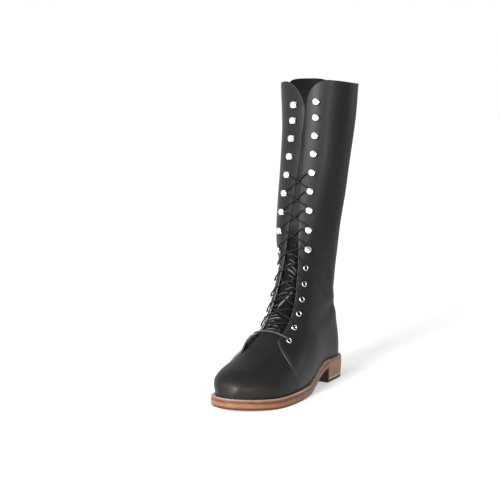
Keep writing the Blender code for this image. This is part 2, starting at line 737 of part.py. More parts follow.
def main():
    for obj in list(bpy.data.objects):
        bpy.data.objects.remove(obj)
    boot = new_collection("tall_boot")
    cutters = new_collection("cutters")
    add_sole(boot)
    add_upper(boot, cutters)
    add_eyelets(boot)
    add_hooks(boot)
    add_lace(boot, cutters)


main()
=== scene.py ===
"""Looks of a tall lace-up leather boot for the left foot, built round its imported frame.

Sizes are in millimetres and turn to metres where a mesh is made. A point of the boot is (x, s, z):
x grows towards the outer side of the foot, s runs along it from the back of the heel, z is the height.
The skin is the boot's outer surface, read by section number u and by arc, the distance along the section
from the front line, below zero on the inner side. Lift is the height over the skin.
"""
import math
from collections import namedtuple

import bmesh
import bpy
import numpy as np
from mathutils import Matrix, Vector


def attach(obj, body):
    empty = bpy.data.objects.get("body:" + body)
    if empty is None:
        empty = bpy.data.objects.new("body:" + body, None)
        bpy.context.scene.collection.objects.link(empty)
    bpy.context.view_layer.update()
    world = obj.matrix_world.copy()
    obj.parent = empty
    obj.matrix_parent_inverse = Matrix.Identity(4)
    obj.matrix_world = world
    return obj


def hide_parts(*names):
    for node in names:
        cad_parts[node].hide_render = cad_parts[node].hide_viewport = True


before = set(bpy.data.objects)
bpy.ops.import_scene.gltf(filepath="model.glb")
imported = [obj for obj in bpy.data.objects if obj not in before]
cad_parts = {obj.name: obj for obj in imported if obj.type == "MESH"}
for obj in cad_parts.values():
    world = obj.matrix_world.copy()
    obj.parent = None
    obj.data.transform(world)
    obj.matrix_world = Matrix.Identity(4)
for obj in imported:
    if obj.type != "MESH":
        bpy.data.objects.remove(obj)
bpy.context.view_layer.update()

MM = 0.001
WELD = 0.000001
LATERAL = 1
MEDIAL = -1
SIDE_NAMES = {LATERAL: "outer", MEDIAL: "inner"}

# Driving sizes, as in the frame
FOOT_LENGTH = 276.0
BOOT_HEIGHT = 403.0
CENTRE_X = 6.6
CENTRE_S = 138.5
WALL = 2.0
HEEL_LIFT = 18.5
HEEL_LENGTH = 68.0
TOP_PIECE = 4.0
HEEL_TAPER = 0.965
OUTSOLE = 9.2
WELT = 3.8
INSOLE = 3.4
RIM_GAP = 0.8
TREAD_START = 142.0
TREAD_END = 205.0
TOE_SPRING = 5.5
SPRING_POWER = 1.9
HEEL_ROUND = 30.0
TOE_ROUND = 62.0
TOE_FULLNESS = 2.25
TOE_BLUNTNESS = 1.95

Outline = namedtuple("Outline", "share lateral medial axis")
OUTLINE = [
    Outline(0.00, 30.5, 30.5, 0.0),
    Outline(0.10, 31.0, 31.0, 0.0),
    Outline(0.20, 32.2, 31.0, 0.0),
    Outline(0.32, 33.0, 28.0, 1.0),
    Outline(0.43, 36.5, 29.0, 1.5),
    Outline(0.53, 42.5, 34.2, 1.0),
    Outline(0.63, 47.0, 42.5, 0.0),
    Outline(0.71, 48.0, 46.0, -1.0),
    Outline(0.79, 46.5, 46.0, -2.0),
    Outline(0.87, 43.0, 44.5, -3.5),
    Outline(1.00, 35.2, 43.0, -6.0),
]

# Feather line, where the upper meets the welt, and its inset from the outline by the distance from the heel
FEATHER_START = 4.0
FEATHER_END = 271.5
FEATHER_MARGIN = [(0, 3.5), (60, 3.5), (100, 4.5), (150, 5.0), (276, 5.0)]
WELT_TUCK = 3.0
INSOLE_INSET = 3.5
INSOLE_RISE = 0.4
RAND_START = 60.0

# Sections of the last and the shaft, each from the front line to the feather line or the back seam
Section = namedtuple("Section", "front_s front_z base_s base_z lateral medial widest crown front_x base_x")
SECTIONS = [
    Section(271.5, 18.4, 271.4, None, 2.2, 2.6, 0.45, 2.00, -6.0, -5.7),
    Section(270.7, 26.0, 270.0, None, 8.0, 9.5, 0.42, 2.10, -6.0, -5.6),
    Section(267.5, 35.0, 266.0, None, 15.8, 17.5, 0.40, 2.20, -6.5, -5.3),
    Section(260.0, 41.5, 257.5, None, 25.0, 26.0, 0.38, 2.20, -7.0, -4.7),
    Section(247.0, 47.0, 243.0, None, 35.3, 34.8, 0.36, 2.15, -7.5, -3.7),
    Section(228.0, 52.0, 222.0, None, 43.4, 41.5, 0.35, 2.10, -8.0, -2.2),
    Section(206.0, 58.5, 197.0, None, 46.5, 42.3, 0.34, 2.05, -8.5, -1.0),
    Section(186.0, 67.5, 170.0, None, 46.0, 38.5, 0.33, 2.05, -8.5, 0.0),
    Section(168.5, 80.5, 143.0, None, 42.5, 34.5, 0.33, 2.10, -7.5, 1.0),
    Section(153.0, 96.0, 115.0, None, 39.0, 31.0, 0.34, 2.15, -6.0, 1.5),
    Section(140.0, 114.0, 87.0, None, 36.0, 31.0, 0.36, 2.25, -4.0, 1.0),
    Section(130.0, 133.0, 60.0, None, 33.2, 32.5, 0.38, 2.40, -2.5, 0.0),
    Section(123.4, 150.0, 37.0, None, 31.4, 33.0, 0.39, 2.50, -1.5, 0.0),
    Section(119.3, 162.0, 20.0, None, 30.4, 33.0, 0.39, 2.60, -1.0, 0.0),
    Section(116.9, 170.0, 10.5, None, 29.9, 33.0, 0.39, 2.66, -1.0, 0.0),
    Section(115.5, 175.0, 5.8, None, 29.7, 33.0, 0.40, 2.70, -1.0, 0.0),
    Section(114.5, 179.0, 4.0, None, 29.7, 33.0, 0.41, 2.71, -1.0, 0.0),
    Section(113.3, 184.0, 4.0, 42.0, 29.8, 33.5, 0.43, 2.70, -1.0, -0.5),
    Section(111.9, 191.0, 5.4, 60.0, 30.3, 34.5, 0.45, 2.65, -1.0, -1.5),
    Section(110.3, 201.0, 11.0, 82.0, 31.4, 36.0, 0.47, 2.55, -1.0, -2.5),
    Section(108.8, 214.0, 16.5, 110.0, 33.4, 38.5, 0.49, 2.45, -0.5, -3.5),
    Section(107.4, 234.0, 17.0, 146.0, 37.0, 41.0, 0.50, 2.36, 1.0, -4.0),
    Section(106.2, 262.0, 13.0, 196.0, 41.0, 43.5, 0.50, 2.28, 3.5, -4.0),
    Section(104.8, 300.0, 7.5, 255.0, 45.0, 46.0, 0.50, 2.20, 8.0, -1.0),
    Section(103.2, 347.0, 3.0, 325.0, 49.0, 49.0, 0.50, 2.15, 11.5, 3.0),
    Section(102.0, 403.0, 1.0, 403.0, 52.5, 52.5, 0.50, 2.10, 13.0, 5.0),
]
LAST = len(SECTIONS) - 1
BACK_SEAM_START = 16
BACK_BLEND = 4.0
SEAM_EASE = 0.02
SEAT_ROOM = 0.3  # a section is at least this much wider than the feather line
SECTION_STEPS = 120
LOOKUP_START = 4  # lowest section that a height is looked up in

# Half-widths along the skin by the height of the front line, and the fastenings' heights
THROAT = [
    (60, 20.0), (70, 19.0), (90, 17.0), (118, 15.0), (160, 12.0),
    (207, 8.0), (256, 4.5), (305, 3.0), (403, 1.5),
]
OUTER_WIDENING = [(70, 0.0), (83, 2.0), (98, 4.6), (114, 5.0), (131, 3.6), (150, 1.4), (185, 0.0)]
CORNER_RADIUS = {LATERAL: 31.0, MEDIAL: 42.0}
CORNER_BLEND = 70.0
COLLAR_DIP = 4.0  # the collar is this much lower at the sides and back than in front
COLLAR_DIP_RUN = (15.0, 80.0)  # distances from the throat's edge over which it dips
TONGUE_HALF = [(55, 25.0), (90, 29.0), (160, 33.0), (403, 36.0)]
TONGUE_START = 6.6
TONGUE_ABOVE = 1.8
FACING_MARGIN = 13.5
EYELET_HEIGHTS = [83.0, 98.0, 114.0, 131.5, 150.5, 170.0]
HOOK_HEIGHTS = [192.0, 215.0, 238.5, 262.0, 285.5, 309.0, 332.0, 355.0, 375.0]
MEDIAL_HOOK_DROP = 4.0
LACED_HOOKS = 5

# Camera, fitted to the photo
CAMERA_PLACE = (0.6914, -1.3334, 0.3589)
CAMERA_TARGET = (-0.0555, 0.0005, 0.1825)
CAMERA_LENS = 84.79
CAMERA_SENSOR = 36.0


# Shape of the last and the shaft

def smooth(knots, values, at):
    """Cubic through the knots, level where the values turn."""
    knots = np.asarray(knots, float)
    values = np.asarray(values, float)
    span = np.diff(knots)
    rise = np.diff(values) / span
    slope = np.empty(len(knots))
    slope[0] = rise[0]
    slope[-1] = rise[-1]
    slope[1:-1] = (rise[:-1] * span[1:] + rise[1:] * span[:-1]) / (span[1:] + span[:-1])
    slope[1:-1][rise[:-1] * rise[1:] <= 0] = 0.0
    i = np.clip(np.searchsorted(knots, at) - 1, 0, len(knots) - 2)
    t = np.clip((at - knots[i]) / span[i], 0, 1)
    return (
        (2 * t**3 - 3 * t**2 + 1) * values[i]
        + (t**3 - 2 * t**2 + t) * span[i] * slope[i]
        + (3 * t**2 - 2 * t**3) * values[i + 1]
        + (t**3 - t**2) * span[i] * slope[i + 1]
    )


def straight(table, at):
    """Straight-line reading of a two-column table."""
    return np.interp(at, [row[0] for row in table], [row[1] for row in table])


def ease(low, high, at):
    """0 below low, 1 above high, and a soft rise between."""
    t = np.clip((np.asarray(at, float) - low) / (high - low), 0, 1)
    return t * t * (3 - 2 * t)


def between(window, at):
    """1 between two soft steps, given as pairs (low, high), and 0 outside them."""
    start, end = window
    return ease(*start, at) * (1 - ease(*end, at))


def bell(distance, width):
    """1 at no distance, falling softly to 0."""
    return np.exp(-((distance / width) ** 2))


def unit(vectors):
    """Vectors brought to length 1."""
    return vectors / np.maximum(np.linalg.norm(vectors, axis=-1, keepdims=True), 1e-12)


def end_rounding(s, start, end):
    """Share of the half-width left near the round heel and toe."""
    heel = np.clip((s - start) / HEEL_ROUND, 0, 1)
    toe = np.clip((end - s) / TOE_ROUND, 0, 1)
    heel_share = np.sqrt(1 - (1 - heel) ** 2)
    toe_share = (1 - (1 - toe) ** TOE_FULLNESS) ** (1 / TOE_BLUNTNESS)
    return heel_share * toe_share


def half_width(side, s, inset=0.0, start=0.0, end=FOOT_LENGTH):
    """Half-width of the sole's outline, or of a line inset from it."""
    shares = [row.share * FOOT_LENGTH for row in OUTLINE]
    widths = [row.lateral if side == LATERAL else row.medial for row in OUTLINE]
    return (smooth(shares, widths, s) - inset) * end_rounding(s, start, end)


def sole_axis(s):
    """Middle line of the sole, which the half-widths are measured from."""
    return smooth([row.share * FOOT_LENGTH for row in OUTLINE], [row.axis for row in OUTLINE], s)


def underside(s):
    """Height of the outsole's underside: heel seat, arch, flat tread and toe spring."""
    arch = np.clip((s - HEEL_LENGTH) / (TREAD_START - HEEL_LENGTH), 0, 1)
    toe = np.clip((s - TREAD_END) / (FOOT_LENGTH - TREAD_END), 0, 1)
    return HEEL_LIFT * (1 - arch**2 * (3 - 2 * arch)) + TOE_SPRING * toe**SPRING_POWER


def sole_top(s):
    """Height of the outsole's upper face."""
    return underside(s) + OUTSOLE


def feather_top(s):
    """Height of the welt's upper face."""
    return sole_top(s) + WELT


def feather_half(side, s, inset=0.0):
    """Half-width of the feather line, or of a line inset from it."""
    margin = straight(FEATHER_MARGIN, s) + inset
    return half_width(side, s, margin, FEATHER_START + inset, FEATHER_END - inset)


def upper_rim(s):
    """Height of the upper's lower rim, just above the welt."""
    return feather_top(s) + RIM_GAP


COLUMNS = {}
for column_name in Section._fields:
    COLUMNS[column_name] = [getattr(row, column_name) for row in SECTIONS]
for row_number, row in enumerate(SECTIONS):
    if row.base_z is None:
        COLUMNS["base_z"][row_number] = upper_rim(row.base_s)


def column(name, u):
    """Smooth reading of one column of the section table at section number u."""
    return smooth(range(len(SECTIONS)), COLUMNS[name], u)


def back_line(z):
    """Back of the boot at height z, as its s."""
    return smooth(COLUMNS["base_z"][BACK_SEAM_START:], COLUMNS["base_s"][BACK_SEAM_START:], z)


def back_reach(u):
    """Distance from the back of the boot to where section u is widest, which rounds the back."""
    u = max(u, BACK_SEAM_START)
    share = column("widest", u)
    s = column("base_s", u) * (1 - share) + column("front_s", u) * share
    z = column("base_z", u) * (1 - share) + column("front_z", u) * share
    return s - back_line(z)


def back_share(distance, u):
    """Share of the half-width left at a distance from the back of the boot."""
    return np.sqrt(1 - (1 - np.clip(distance / back_reach(u), 0, 1)) ** 2)


def low_width(u, side, wide):
    """Half-width at the base of section u before the back rounds it off, the feather's turning to wide."""
    foot_s = column("base_s", min(u, BACK_SEAM_START - SEAM_EASE))
    foot_u = min(u, BACK_SEAM_START)
    foot_wide = feather_half(side, foot_s) / back_share(foot_s - FEATHER_START, foot_u)
    return foot_wide + (wide - foot_wide) * ease(0, BACK_BLEND, u - BACK_SEAM_START)


def section(u, side):
    """Points (x, s, z) of one side of section u, from the front line to the base."""
    on_foot = u < BACK_SEAM_START
    front = np.array([column("front_s", u), column("front_z", u)])
    base_s = column("base_s", u)
    base = np.array([base_s, upper_rim(base_s) if on_foot else column("base_z", u)])
    seat = feather_half(side, base_s) if on_foot else 0.0
    wide = max(column("lateral" if side == LATERAL else "medial", u), seat + SEAT_ROOM)
    widest = column("widest", u)
    power = 2 / column("crown", u)
    upper_turn = np.linspace(np.pi / 2, 0, SECTION_STEPS)
    lower_turn = np.linspace(0, np.pi / 2, SECTION_STEPS)[1:]
    over_rise = widest + (1 - widest) * np.sin(upper_turn) ** power
    under_rise = widest * (1 - np.sin(lower_turn))
    share = np.concatenate([over_rise, under_rise])
    points = np.empty((len(share), 3))
    points[:, 1:] = base + np.outer(share, front - base)
    over = wide * np.clip(np.cos(upper_turn), 0, 1) ** power
    s, z = points[len(over):, 1:].T
    lead = base_s - FEATHER_START if on_foot else 0.0
    distance = lead + (s - base_s) - (back_line(z) - back_line(base[1]))
    low_wide = low_width(u, side, wide)
    under = back_share(distance, u) * (low_wide + (wide - low_wide) * np.cos(lower_turn))
    middle = column("base_x", u) * (1 - share) + column("front_x", u) * share
    points[:, 0] = middle + side * np.concatenate([over, under])
    return points


def arc_length(points):
    """Distance along a run of points, from its first one."""
    return np.concatenate([[0.0], np.cumsum(np.linalg.norm(np.diff(points, axis=0), axis=1))])


def along_values(values, reach, at):
    """Triples of values along a line, read at given distances."""
    return np.stack([np.interp(at, reach, values[:, k]) for k in range(3)], axis=1)


def along(points, arcs):
    """Points at the given distances along a run of points."""
    return along_values(points, arc_length(points), arcs)


def section_at(z):
    """Section number whose front line is at height z."""
    numbers = np.linspace(LOOKUP_START, LAST, 800)
    return np.interp(z, column("front_z", numbers), numbers)


def throat_half(u):
    """Distance along the skin from the front line to the edge of the throat."""
    return straight(THROAT, column("front_z", u))


def place(points):
    """Boot points (x, s, z) in the frame's directions, still in millimetres."""
    points = np.asarray(points, float)
    return np.stack([points[..., 0] - CENTRE_X, CENTRE_S - points[..., 1], points[..., 2]], axis=-1)


def throat_edge(u, side):
    """Distance along the skin from the front line to a facing's cut edge, wider on the outer side."""
    return throat_half(u) + (side == LATERAL) * straight(OUTER_WIDENING, column("front_z", u))


def collar_drop(side, z, edge_distance):
    """Lowering of the skin by the collar's rounded corner and dip, at a distance from the throat's edge."""
    radius = CORNER_RADIUS[side]
    reach = np.clip(radius - edge_distance, 0, radius)
    drop = radius - np.sqrt(radius**2 - reach**2) + COLLAR_DIP * ease(*COLLAR_DIP_RUN, edge_distance)
    return drop * np.clip(1 - (BOOT_HEIGHT - z) / CORNER_BLEND, 0, 1)


def by_side(arc, reading):
    """Reading of the side that each arc lies on."""
    return np.where(arc >= 0, reading(LATERAL), reading(MEDIAL))


class Skin:
    """The boot's outer surface as a fine grid of points and outward directions."""

    CUTS = 40  # rows for each section
    HALF = 160  # steps from the front line to the base

    def __init__(self):
        self.u = np.linspace(0, LAST, LAST * self.CUTS + 1)
        shares = np.linspace(0, 1, self.HALF + 1)
        self.length = {LATERAL: [], MEDIAL: []}
        rows = []
        for u in self.u:
            halves = {}
            for side in (LATERAL, MEDIAL):
                points = section(u, side)
                reach = arc_length(points)[-1]
                self.length[side].append(reach)
                halves[side] = along(points, reach * shares)
            rows.append(np.concatenate([halves[MEDIAL][:0:-1], halves[LATERAL]]))
        self.points = place(rows)
        out = np.cross(np.gradient(self.points, axis=1), np.gradient(self.points, axis=0))
        shaft = self.u >= BACK_SEAM_START
        out[shaft, 0, 0] = 0
        out[shaft, -1, 0] = 0
        self.out = unit(out)

    def reach(self, u, side):
        """Length of one side of section u, from the front line to the base."""
        return np.interp(u, self.u, self.length[side])

    def read(self, u, arc):
        """Points and outward directions at sections u and arcs, of any matching shape."""
        u, arc = np.broadcast_arrays(np.asarray(u, float), np.asarray(arc, float))
        reach = by_side(arc, lambda side: self.reach(u, side))
        row = np.clip(u * self.CUTS, 0, len(self.u) - 1.001)
        col = np.clip((1 + arc / reach) * self.HALF, 0, 2 * self.HALF - 0.001)
        i = row.astype(int)
        j = col.astype(int)
        f = (row - i)[..., None]
        g = (col - j)[..., None]

        def blend(grid):
            low = grid[i, j] * (1 - g) + grid[i, j + 1] * g
            high = grid[i + 1, j] * (1 - g) + grid[i + 1, j + 1] * g
            return low * (1 - f) + high * f

        return blend(self.points), unit(blend(self.out))

    def over(self, u, arc, lift=0.0):
        """Points at a lift over the skin."""
        points, out = self.read(u, arc)
        return points + out * np.asarray(lift, float)[..., None]


SKIN = Skin()


# Shader trees

class Wire:
    """Socket of a material's tree. Sums and products of wires add Math nodes."""

    def __init__(self, tree, socket=None):
        self.tree = tree
        self.socket = socket

    def plug(self, socket, value):
        """Link a wire to a socket, or set the socket's own value."""
        if isinstance(value, Wire):
            self.tree.links.new(value.socket, socket)
        else:
            socket.default_value = value

    def add(self, kind, settings=None, inputs=None, output=0):
        """New node with its settings and then its inputs, giving the wire of one output."""
        node = self.tree.nodes.new("ShaderNode" + kind)
        for name, value in (settings or {}).items():
            setattr(node, name, value)
        for name, value in (inputs or {}).items():
            self.plug(node.inputs[name], value)
        return Wire(self.tree, node.outputs[output])

    def maths(self, operation, *values):
        """Result of one Math node."""
        return self.add("Math", {"operation": operation}, dict(enumerate(values)))

    def __add__(self, other):
        return self.maths("ADD", self, other)

    __radd__ = __add__

    def __sub__(self, other):
        return self.maths("SUBTRACT", self, other)

    def __rsub__(self, other):
        return self.maths("SUBTRACT", other, self)

    def __mul__(self, other):
        return self.maths("MULTIPLY", self, other)

    __rmul__ = __mul__

    def rise(self, low, high):
        """0 below low, 1 above high, and a soft rise between."""
        settings = {"interpolation_type": "SMOOTHSTEP"}
        return self.add("MapRange", settings, {"Value": self, "From Min": low, "From Max": high})

    def mix(self, first, second):
        """Colour between two colours, by this wire."""
        colours = [value if isinstance(value, Wire) else (*value, 1.0) for value in (first, second)]
        return self.add("Mix", {"data_type": "RGBA"}, {0: self, 6: colours[0], 7: colours[1]}, 2)

    def place(self, stretch=(1, 1, 1)):
        """Place on the piece in metres, stretched along each direction."""
        spot = self.add("TexCoord", output="Object")
        return self.add("VectorMath", {"operation": "MULTIPLY"}, {0: spot, 1: stretch})

    def noise(self, spot, scale, detail, roughness=0.5):
        """Soft noise, scale features to the metre."""
        inputs = {"Vector": spot, "Scale": scale, "Detail": detail, "Roughness": roughness}
        return self.add("TexNoise", None, inputs)

    def cells(self, spot, scale):
        """Distance from the edge of scattered cells, scale cells to the metre."""
        return self.add("TexVoronoi", {"feature": "DISTANCE_TO_EDGE"}, {"Vector": spot, "Scale": scale})

    def painted(self, name):
        """Value stored on the points of the mesh."""
        return self.add("Attribute", {"attribute_name": name}, output="Fac")

    def towards(self, spot, aim):
        """How far a spot lies in a direction."""
        return self.add("VectorMath", {"operation": "DOT_PRODUCT"}, {0: spot, 1: aim}, "Value")

    def bump(self, height, depth, strength):
        """Direction of a surface with a relief of that depth in metres."""
        return self.add("Bump", None, {"Strength": strength, "Distance": depth, "Height": height})


def finish(name, make):
    """Material whose shader sockets are what make gives."""
    material = bpy.data.materials.new(name)
    material.use_nodes = True
    shader = material.node_tree.nodes["Principled BSDF"]
    wire = Wire(material.node_tree)
    for socket, value in make(wire).items():
        wire.plug(shader.inputs[socket], value)
    return material


def grain_leather(wire, dark, worn_and_sheen_tone, gloss, shine):
    """Dyed grain leather: fine pores, soft cloudy gloss, and a lighter tone where it is worn and where a
    highlight is painted.
    """
    spot = wire.place()
    pores = wire.cells(spot, 1150.0).rise(0.0, 0.16)
    fine = wire.noise(spot, 2600.0, 3.0)
    cloud = wire.noise(spot, 26.0, 3.0)
    wear_and_sheen = wire.painted("wear_and_sheen")
    # The mark holds real wear and painted highlight: the lighter tone on cut edges and tongue folds is
    # painted highlight
    tone = (wear_and_sheen + 0.25 * cloud + 0.1 * fine).rise(0.08, 1.1)
    return {
        "Base Color": tone.mix(dark, worn_and_sheen_tone),
        "Roughness": gloss + 0.10 * cloud + 0.05 * fine + 0.10 * wear_and_sheen,
        "Normal": wire.bump(0.7 * pores + 0.3 * fine, 0.00006, 0.35),
        "Specular IOR Level": shine,
        "Coat Weight": 0.2 * shine,
        "Coat Roughness": 0.24,
    }


def upper_leather(wire):
    """Black leather of vamp, quarters and shaft, softly glossy."""
    return grain_leather(wire, (0.0078, 0.0075, 0.0070), (0.034, 0.033, 0.0315), 0.36, 0.14)


def tongue_leather(wire):
    """Black leather of the tongue, duller, with a painted highlight on its folds' crests and painted
    lightening higher up.
    """
    return grain_leather(wire, (0.0016, 0.0015, 0.0014), (0.085, 0.084, 0.081), 0.50, 0.03)


def raw_edge(wire):
    """Cut edge of the leather, dyed and rubbed grey and lightened further by a painted highlight, with
    lengthwise fibres.
    """
    fibre = wire.noise(wire.place((1, 1, 0.35)), 2400.0, 3.0)
    # Lighter where the mark holds rubbing and painted highlight
    tone = wire.painted("wear_and_sheen") * (0.55 + 0.6 * fibre)
    return {
        "Base Color": tone.mix((0.016, 0.0155, 0.015), (0.27, 0.262, 0.25)),
        "Roughness": 0.55 + 0.2 * fibre,
        "Normal": wire.bump(fibre, 0.00012, 0.5),
    }


def flesh_side(wire):
    """Napped inner side of the leather."""
    spot = wire.place()
    nap = wire.noise(spot, 1500.0, 4.0, 0.65)
    cloud = wire.noise(spot, 40.0, 2.0)
    tone = (0.6 * nap + 0.4 * cloud).rise(0.25, 0.75)
    return {
        "Base Color": tone.mix((0.016, 0.014, 0.013), (0.042, 0.038, 0.035)),
        "Roughness": 0.82 + 0.12 * nap,
        "Normal": wire.bump(nap, 0.00020, 0.6),
    }


def lace_cord(wire):
    """Waxed black cotton braid, paler near the lowest bar where a highlight is painted."""
    fibre = wire.noise(wire.place(), 3800.0, 3.0)
    dyed = fibre.mix((0.003, 0.003, 0.0028), (0.010, 0.0098, 0.0095))
    bar_sheen_tone = fibre.mix((0.026, 0.0255, 0.025), (0.080, 0.0785, 0.076))
    return {
        "Base Color": wire.painted("wear_and_sheen").mix(dyed, bar_sheen_tone),
        "Roughness": 0.50 + 0.25 * fibre,
        "Specular IOR Level": 0.14,
        "Normal": wire.bump(fibre, 0.00008, 0.5),
    }


def black_thread(wire):
    """Waxed black sewing thread."""
    twist = wire.noise(wire.place(), 5200.0, 2.0)
    return {
        "Base Color": twist.mix((0.012, 0.012, 0.012), (0.042, 0.041, 0.039)),
        "Roughness": 0.45 + 0.2 * twist,
        "Normal": wire.bump(twist, 0.00005, 0.4),
    }


def welt_thread(wire):
    """Waxed natural thread of the welt."""
    twist = wire.noise(wire.place(), 4200.0, 2.0)
    return {
        "Base Color": twist.mix((0.36, 0.23, 0.15), (0.62, 0.47, 0.34)),
        "Roughness": 0.55 + 0.2 * twist,
        "Normal": wire.bump(twist, 0.00006, 0.4),
    }


def bright_nickel(wire):
    """Polished nickel plate with faint rubbing marks."""
    rub_and_highlight = wire.noise(wire.place((1, 1, 0.2)), 2200.0, 2.0)
    haze = wire.noise(wire.place(), 420.0, 2.0)
    return {
        "Base Color": haze.mix((0.90, 0.89, 0.87), (0.97, 0.965, 0.955)),
        "Metallic": 1.0,
        "Roughness": 0.10 + 0.10 * rub_and_highlight,
        "Normal": wire.bump(rub_and_highlight, 0.00002, 0.15),
    }


def eyelet_nickel(wire):
    """Nickel of the ring eyelets, duller, with painted shade inside their barrels."""
    haze = wire.noise(wire.place(), 900.0, 3.0)
    plate = haze.mix((0.55, 0.545, 0.535), (0.86, 0.85, 0.835))
    return {
        # Painted shade inside the barrels
        "Base Color": wire.painted("barrel").mix(plate, (0.03, 0.03, 0.03)),
        "Metallic": 1.0,
        "Roughness": 0.22 + 0.20 * haze,
        "Normal": wire.bump(haze, 0.00003, 0.2),
    }


# Waxed and burnished face of sole, welt and heel
WAXED = {"Specular IOR Level": 0.25, "Coat Weight": 0.04, "Coat Roughness": 0.25}


def stack_tone(wire):
    """Rubbed tan of the heel and of the sole's edge over it, with its streaks and clouds."""
    streak = wire.noise(wire.place((1, 1, 6)), 190.0, 4.0)
    cloud = wire.noise(wire.place(), 60.0, 3.0)
    tone = (0.5 * streak + 0.5 * cloud).rise(0.25, 0.78)
    return tone.mix((0.155, 0.076, 0.041), (0.290, 0.156, 0.093)), streak, cloud


def sole_leather(wire):
    """Waxed sole leather: a tan edge, paler in its middle, dark below and at the waist, and a bare tread."""
    level = wire.painted("level")
    stack, streak, cloud = stack_tone(wire)
    patch = wire.noise(wire.place((1, 1, 2.5)), 75.0, 3.0)
    fibre = wire.noise(wire.place((1, 1, 3)), 1600.0, 3.0)
    middle = level.rise(0.20, 0.50) * (1 - level.rise(0.66, 1.0))
    tan = (0.50 * middle + 0.25 * streak + 0.50 * patch).rise(0.25, 0.95)
    body = tan.mix((0.072, 0.0255, 0.0102), (0.178, 0.075, 0.0355))
    foot = (level + 0.16 * cloud - 0.08).rise(0.06, 0.36)
    edge = foot.mix((0.020, 0.006, 0.0035), body)
    walked = (0.4 * fibre + 0.6 * cloud).rise(0.25, 0.75)
    bare = walked.mix((0.115, 0.056, 0.028), (0.215, 0.118, 0.064))
    side = wire.painted("seat").mix(edge, stack)
    return {
        "Base Color": wire.painted("tread").mix(side, bare),
        "Roughness": 0.32 + 0.16 * cloud + 0.10 * fibre,
        "Normal": wire.bump(0.6 * streak + 0.4 * fibre, 0.00016, 0.45),
        **WAXED,
    }


def welt_leather(wire):
    """Welt strip: brown edge with a painted highlight, a pale line along its upper corner."""
    level = wire.painted("level")
    cloud = wire.noise(wire.place(), 70.0, 3.0)
    fibre = wire.noise(wire.place((1, 1, 2)), 1500.0, 3.0)
    tone = (0.7 * cloud + 0.3 * fibre).rise(0.25, 0.75)
    edge = tone.mix((0.064, 0.0235, 0.0105), (0.128, 0.055, 0.028))
    corner = level.rise(0.60, 0.70) * (1 - level.rise(0.90, 0.96))
    # Painted highlight along the welt's upper corner
    rub_and_sheen = corner * wire.painted("corner_sheen_share") * (0.55 + 0.6 * cloud)
    return {
        "Base Color": rub_and_sheen.mix(edge, (0.42, 0.28, 0.19)),
        "Roughness": 0.38 + 0.14 * cloud + 0.08 * fibre,
        "Normal": wire.bump(fibre, 0.00012, 0.45),
        **WAXED,
        "Coat Roughness": 0.30,
    }


def heel_leather(wire):
    """Stacked heel leather: dark joins, painted shade on the breast, and a painted highlight line over the
    top piece.
    """
    stack, streak, cloud = stack_tone(wire)
    fibre = wire.noise(wire.place((1, 1, 3)), 1500.0, 3.0)
    body = wire.painted("join").mix(stack, (0.030, 0.013, 0.008))
    return {
        # Painted highlight line over the top piece
        "Base Color": wire.painted("rub_and_highlight").mix(body, (0.56, 0.43, 0.34)),
        "Roughness": 0.36 + 0.16 * cloud + 0.10 * fibre,
        "Normal": wire.bump(0.5 * streak + 0.5 * fibre, 0.00016, 0.5),
        **WAXED,
    }


def insole_leather(wire):
    """Bare vegetable-tanned insole."""
    cloud = wire.noise(wire.place(), 30.0, 4.0)
    pores = wire.cells(wire.place(), 900.0).rise(0.0, 0.2)
    return {
        "Base Color": cloud.rise(0.3, 0.75).mix((0.36, 0.215, 0.115), (0.52, 0.345, 0.205)),
        "Roughness": 0.60 + 0.15 * cloud,
        "Normal": wire.bump(pores, 0.00008, 0.4),
    }


def heel_rubber(wire):
    """Black rubber wearing layer, matt with fine scuffs."""
    scuff = wire.noise(wire.place((1, 1, 4)), 420.0, 4.0)
    return {
        "Base Color": scuff.rise(0.4, 0.8).mix((0.010, 0.008, 0.007), (0.030, 0.026, 0.024)),
        "Roughness": 0.58 + 0.2 * scuff,
        "Normal": wire.bump(scuff, 0.00015, 0.4),
    }


# Directions in which floor and surroundings are dimmer: to the outer side and a little to the back
FLOOR_DIM_WAY = (0.955, 0.297, 0.0)
ROOM_DIM_WAY = (0.95, 0.30, 0.0)


def pale_floor(wire):
    """Plain pale studio floor with a painted glow of its own, less near the middle and hardly any to one
    side.
    """
    spot = wire.place()
    cloud = wire.noise(spot, 6.0, 2.0)
    distance = wire.add("VectorMath", {"operation": "LENGTH"}, {0: spot}, "Value")
    aside = wire.towards(spot, FLOOR_DIM_WAY).rise(0.27, 0.46)
    glow = distance.rise(0.2, 2.0).mix((0.46, 0.46, 0.46), (0.70, 0.70, 0.70))
    return {
        "Base Color": cloud.mix((0.59, 0.59, 0.588), (0.61, 0.61, 0.608)),
        "Roughness": 0.75 + 0.1 * cloud,
        # Painted glow: the floor emits light, less to one side
        "Emission Color": aside.mix(glow, (0.02, 0.02, 0.02)),
        "Emission Strength": 1.0,
    }


# Mesh making

# Angles, in degrees, from which an edge stays sharp
LEATHER_SHARP = 40.0
SOLE_SHARP = 50.0
LACE_SHARP = 70.0
THREAD_SHARP = 80.0


def mark_points(mesh, marks):
    """Store named values on a mesh's points, for its finish to read."""
    for mark, values in (marks or {}).items():
        layer = mesh.attributes.new(mark, "FLOAT", "POINT")
        layer.data.foreach_set("value", np.asarray(values, np.float32).ravel())


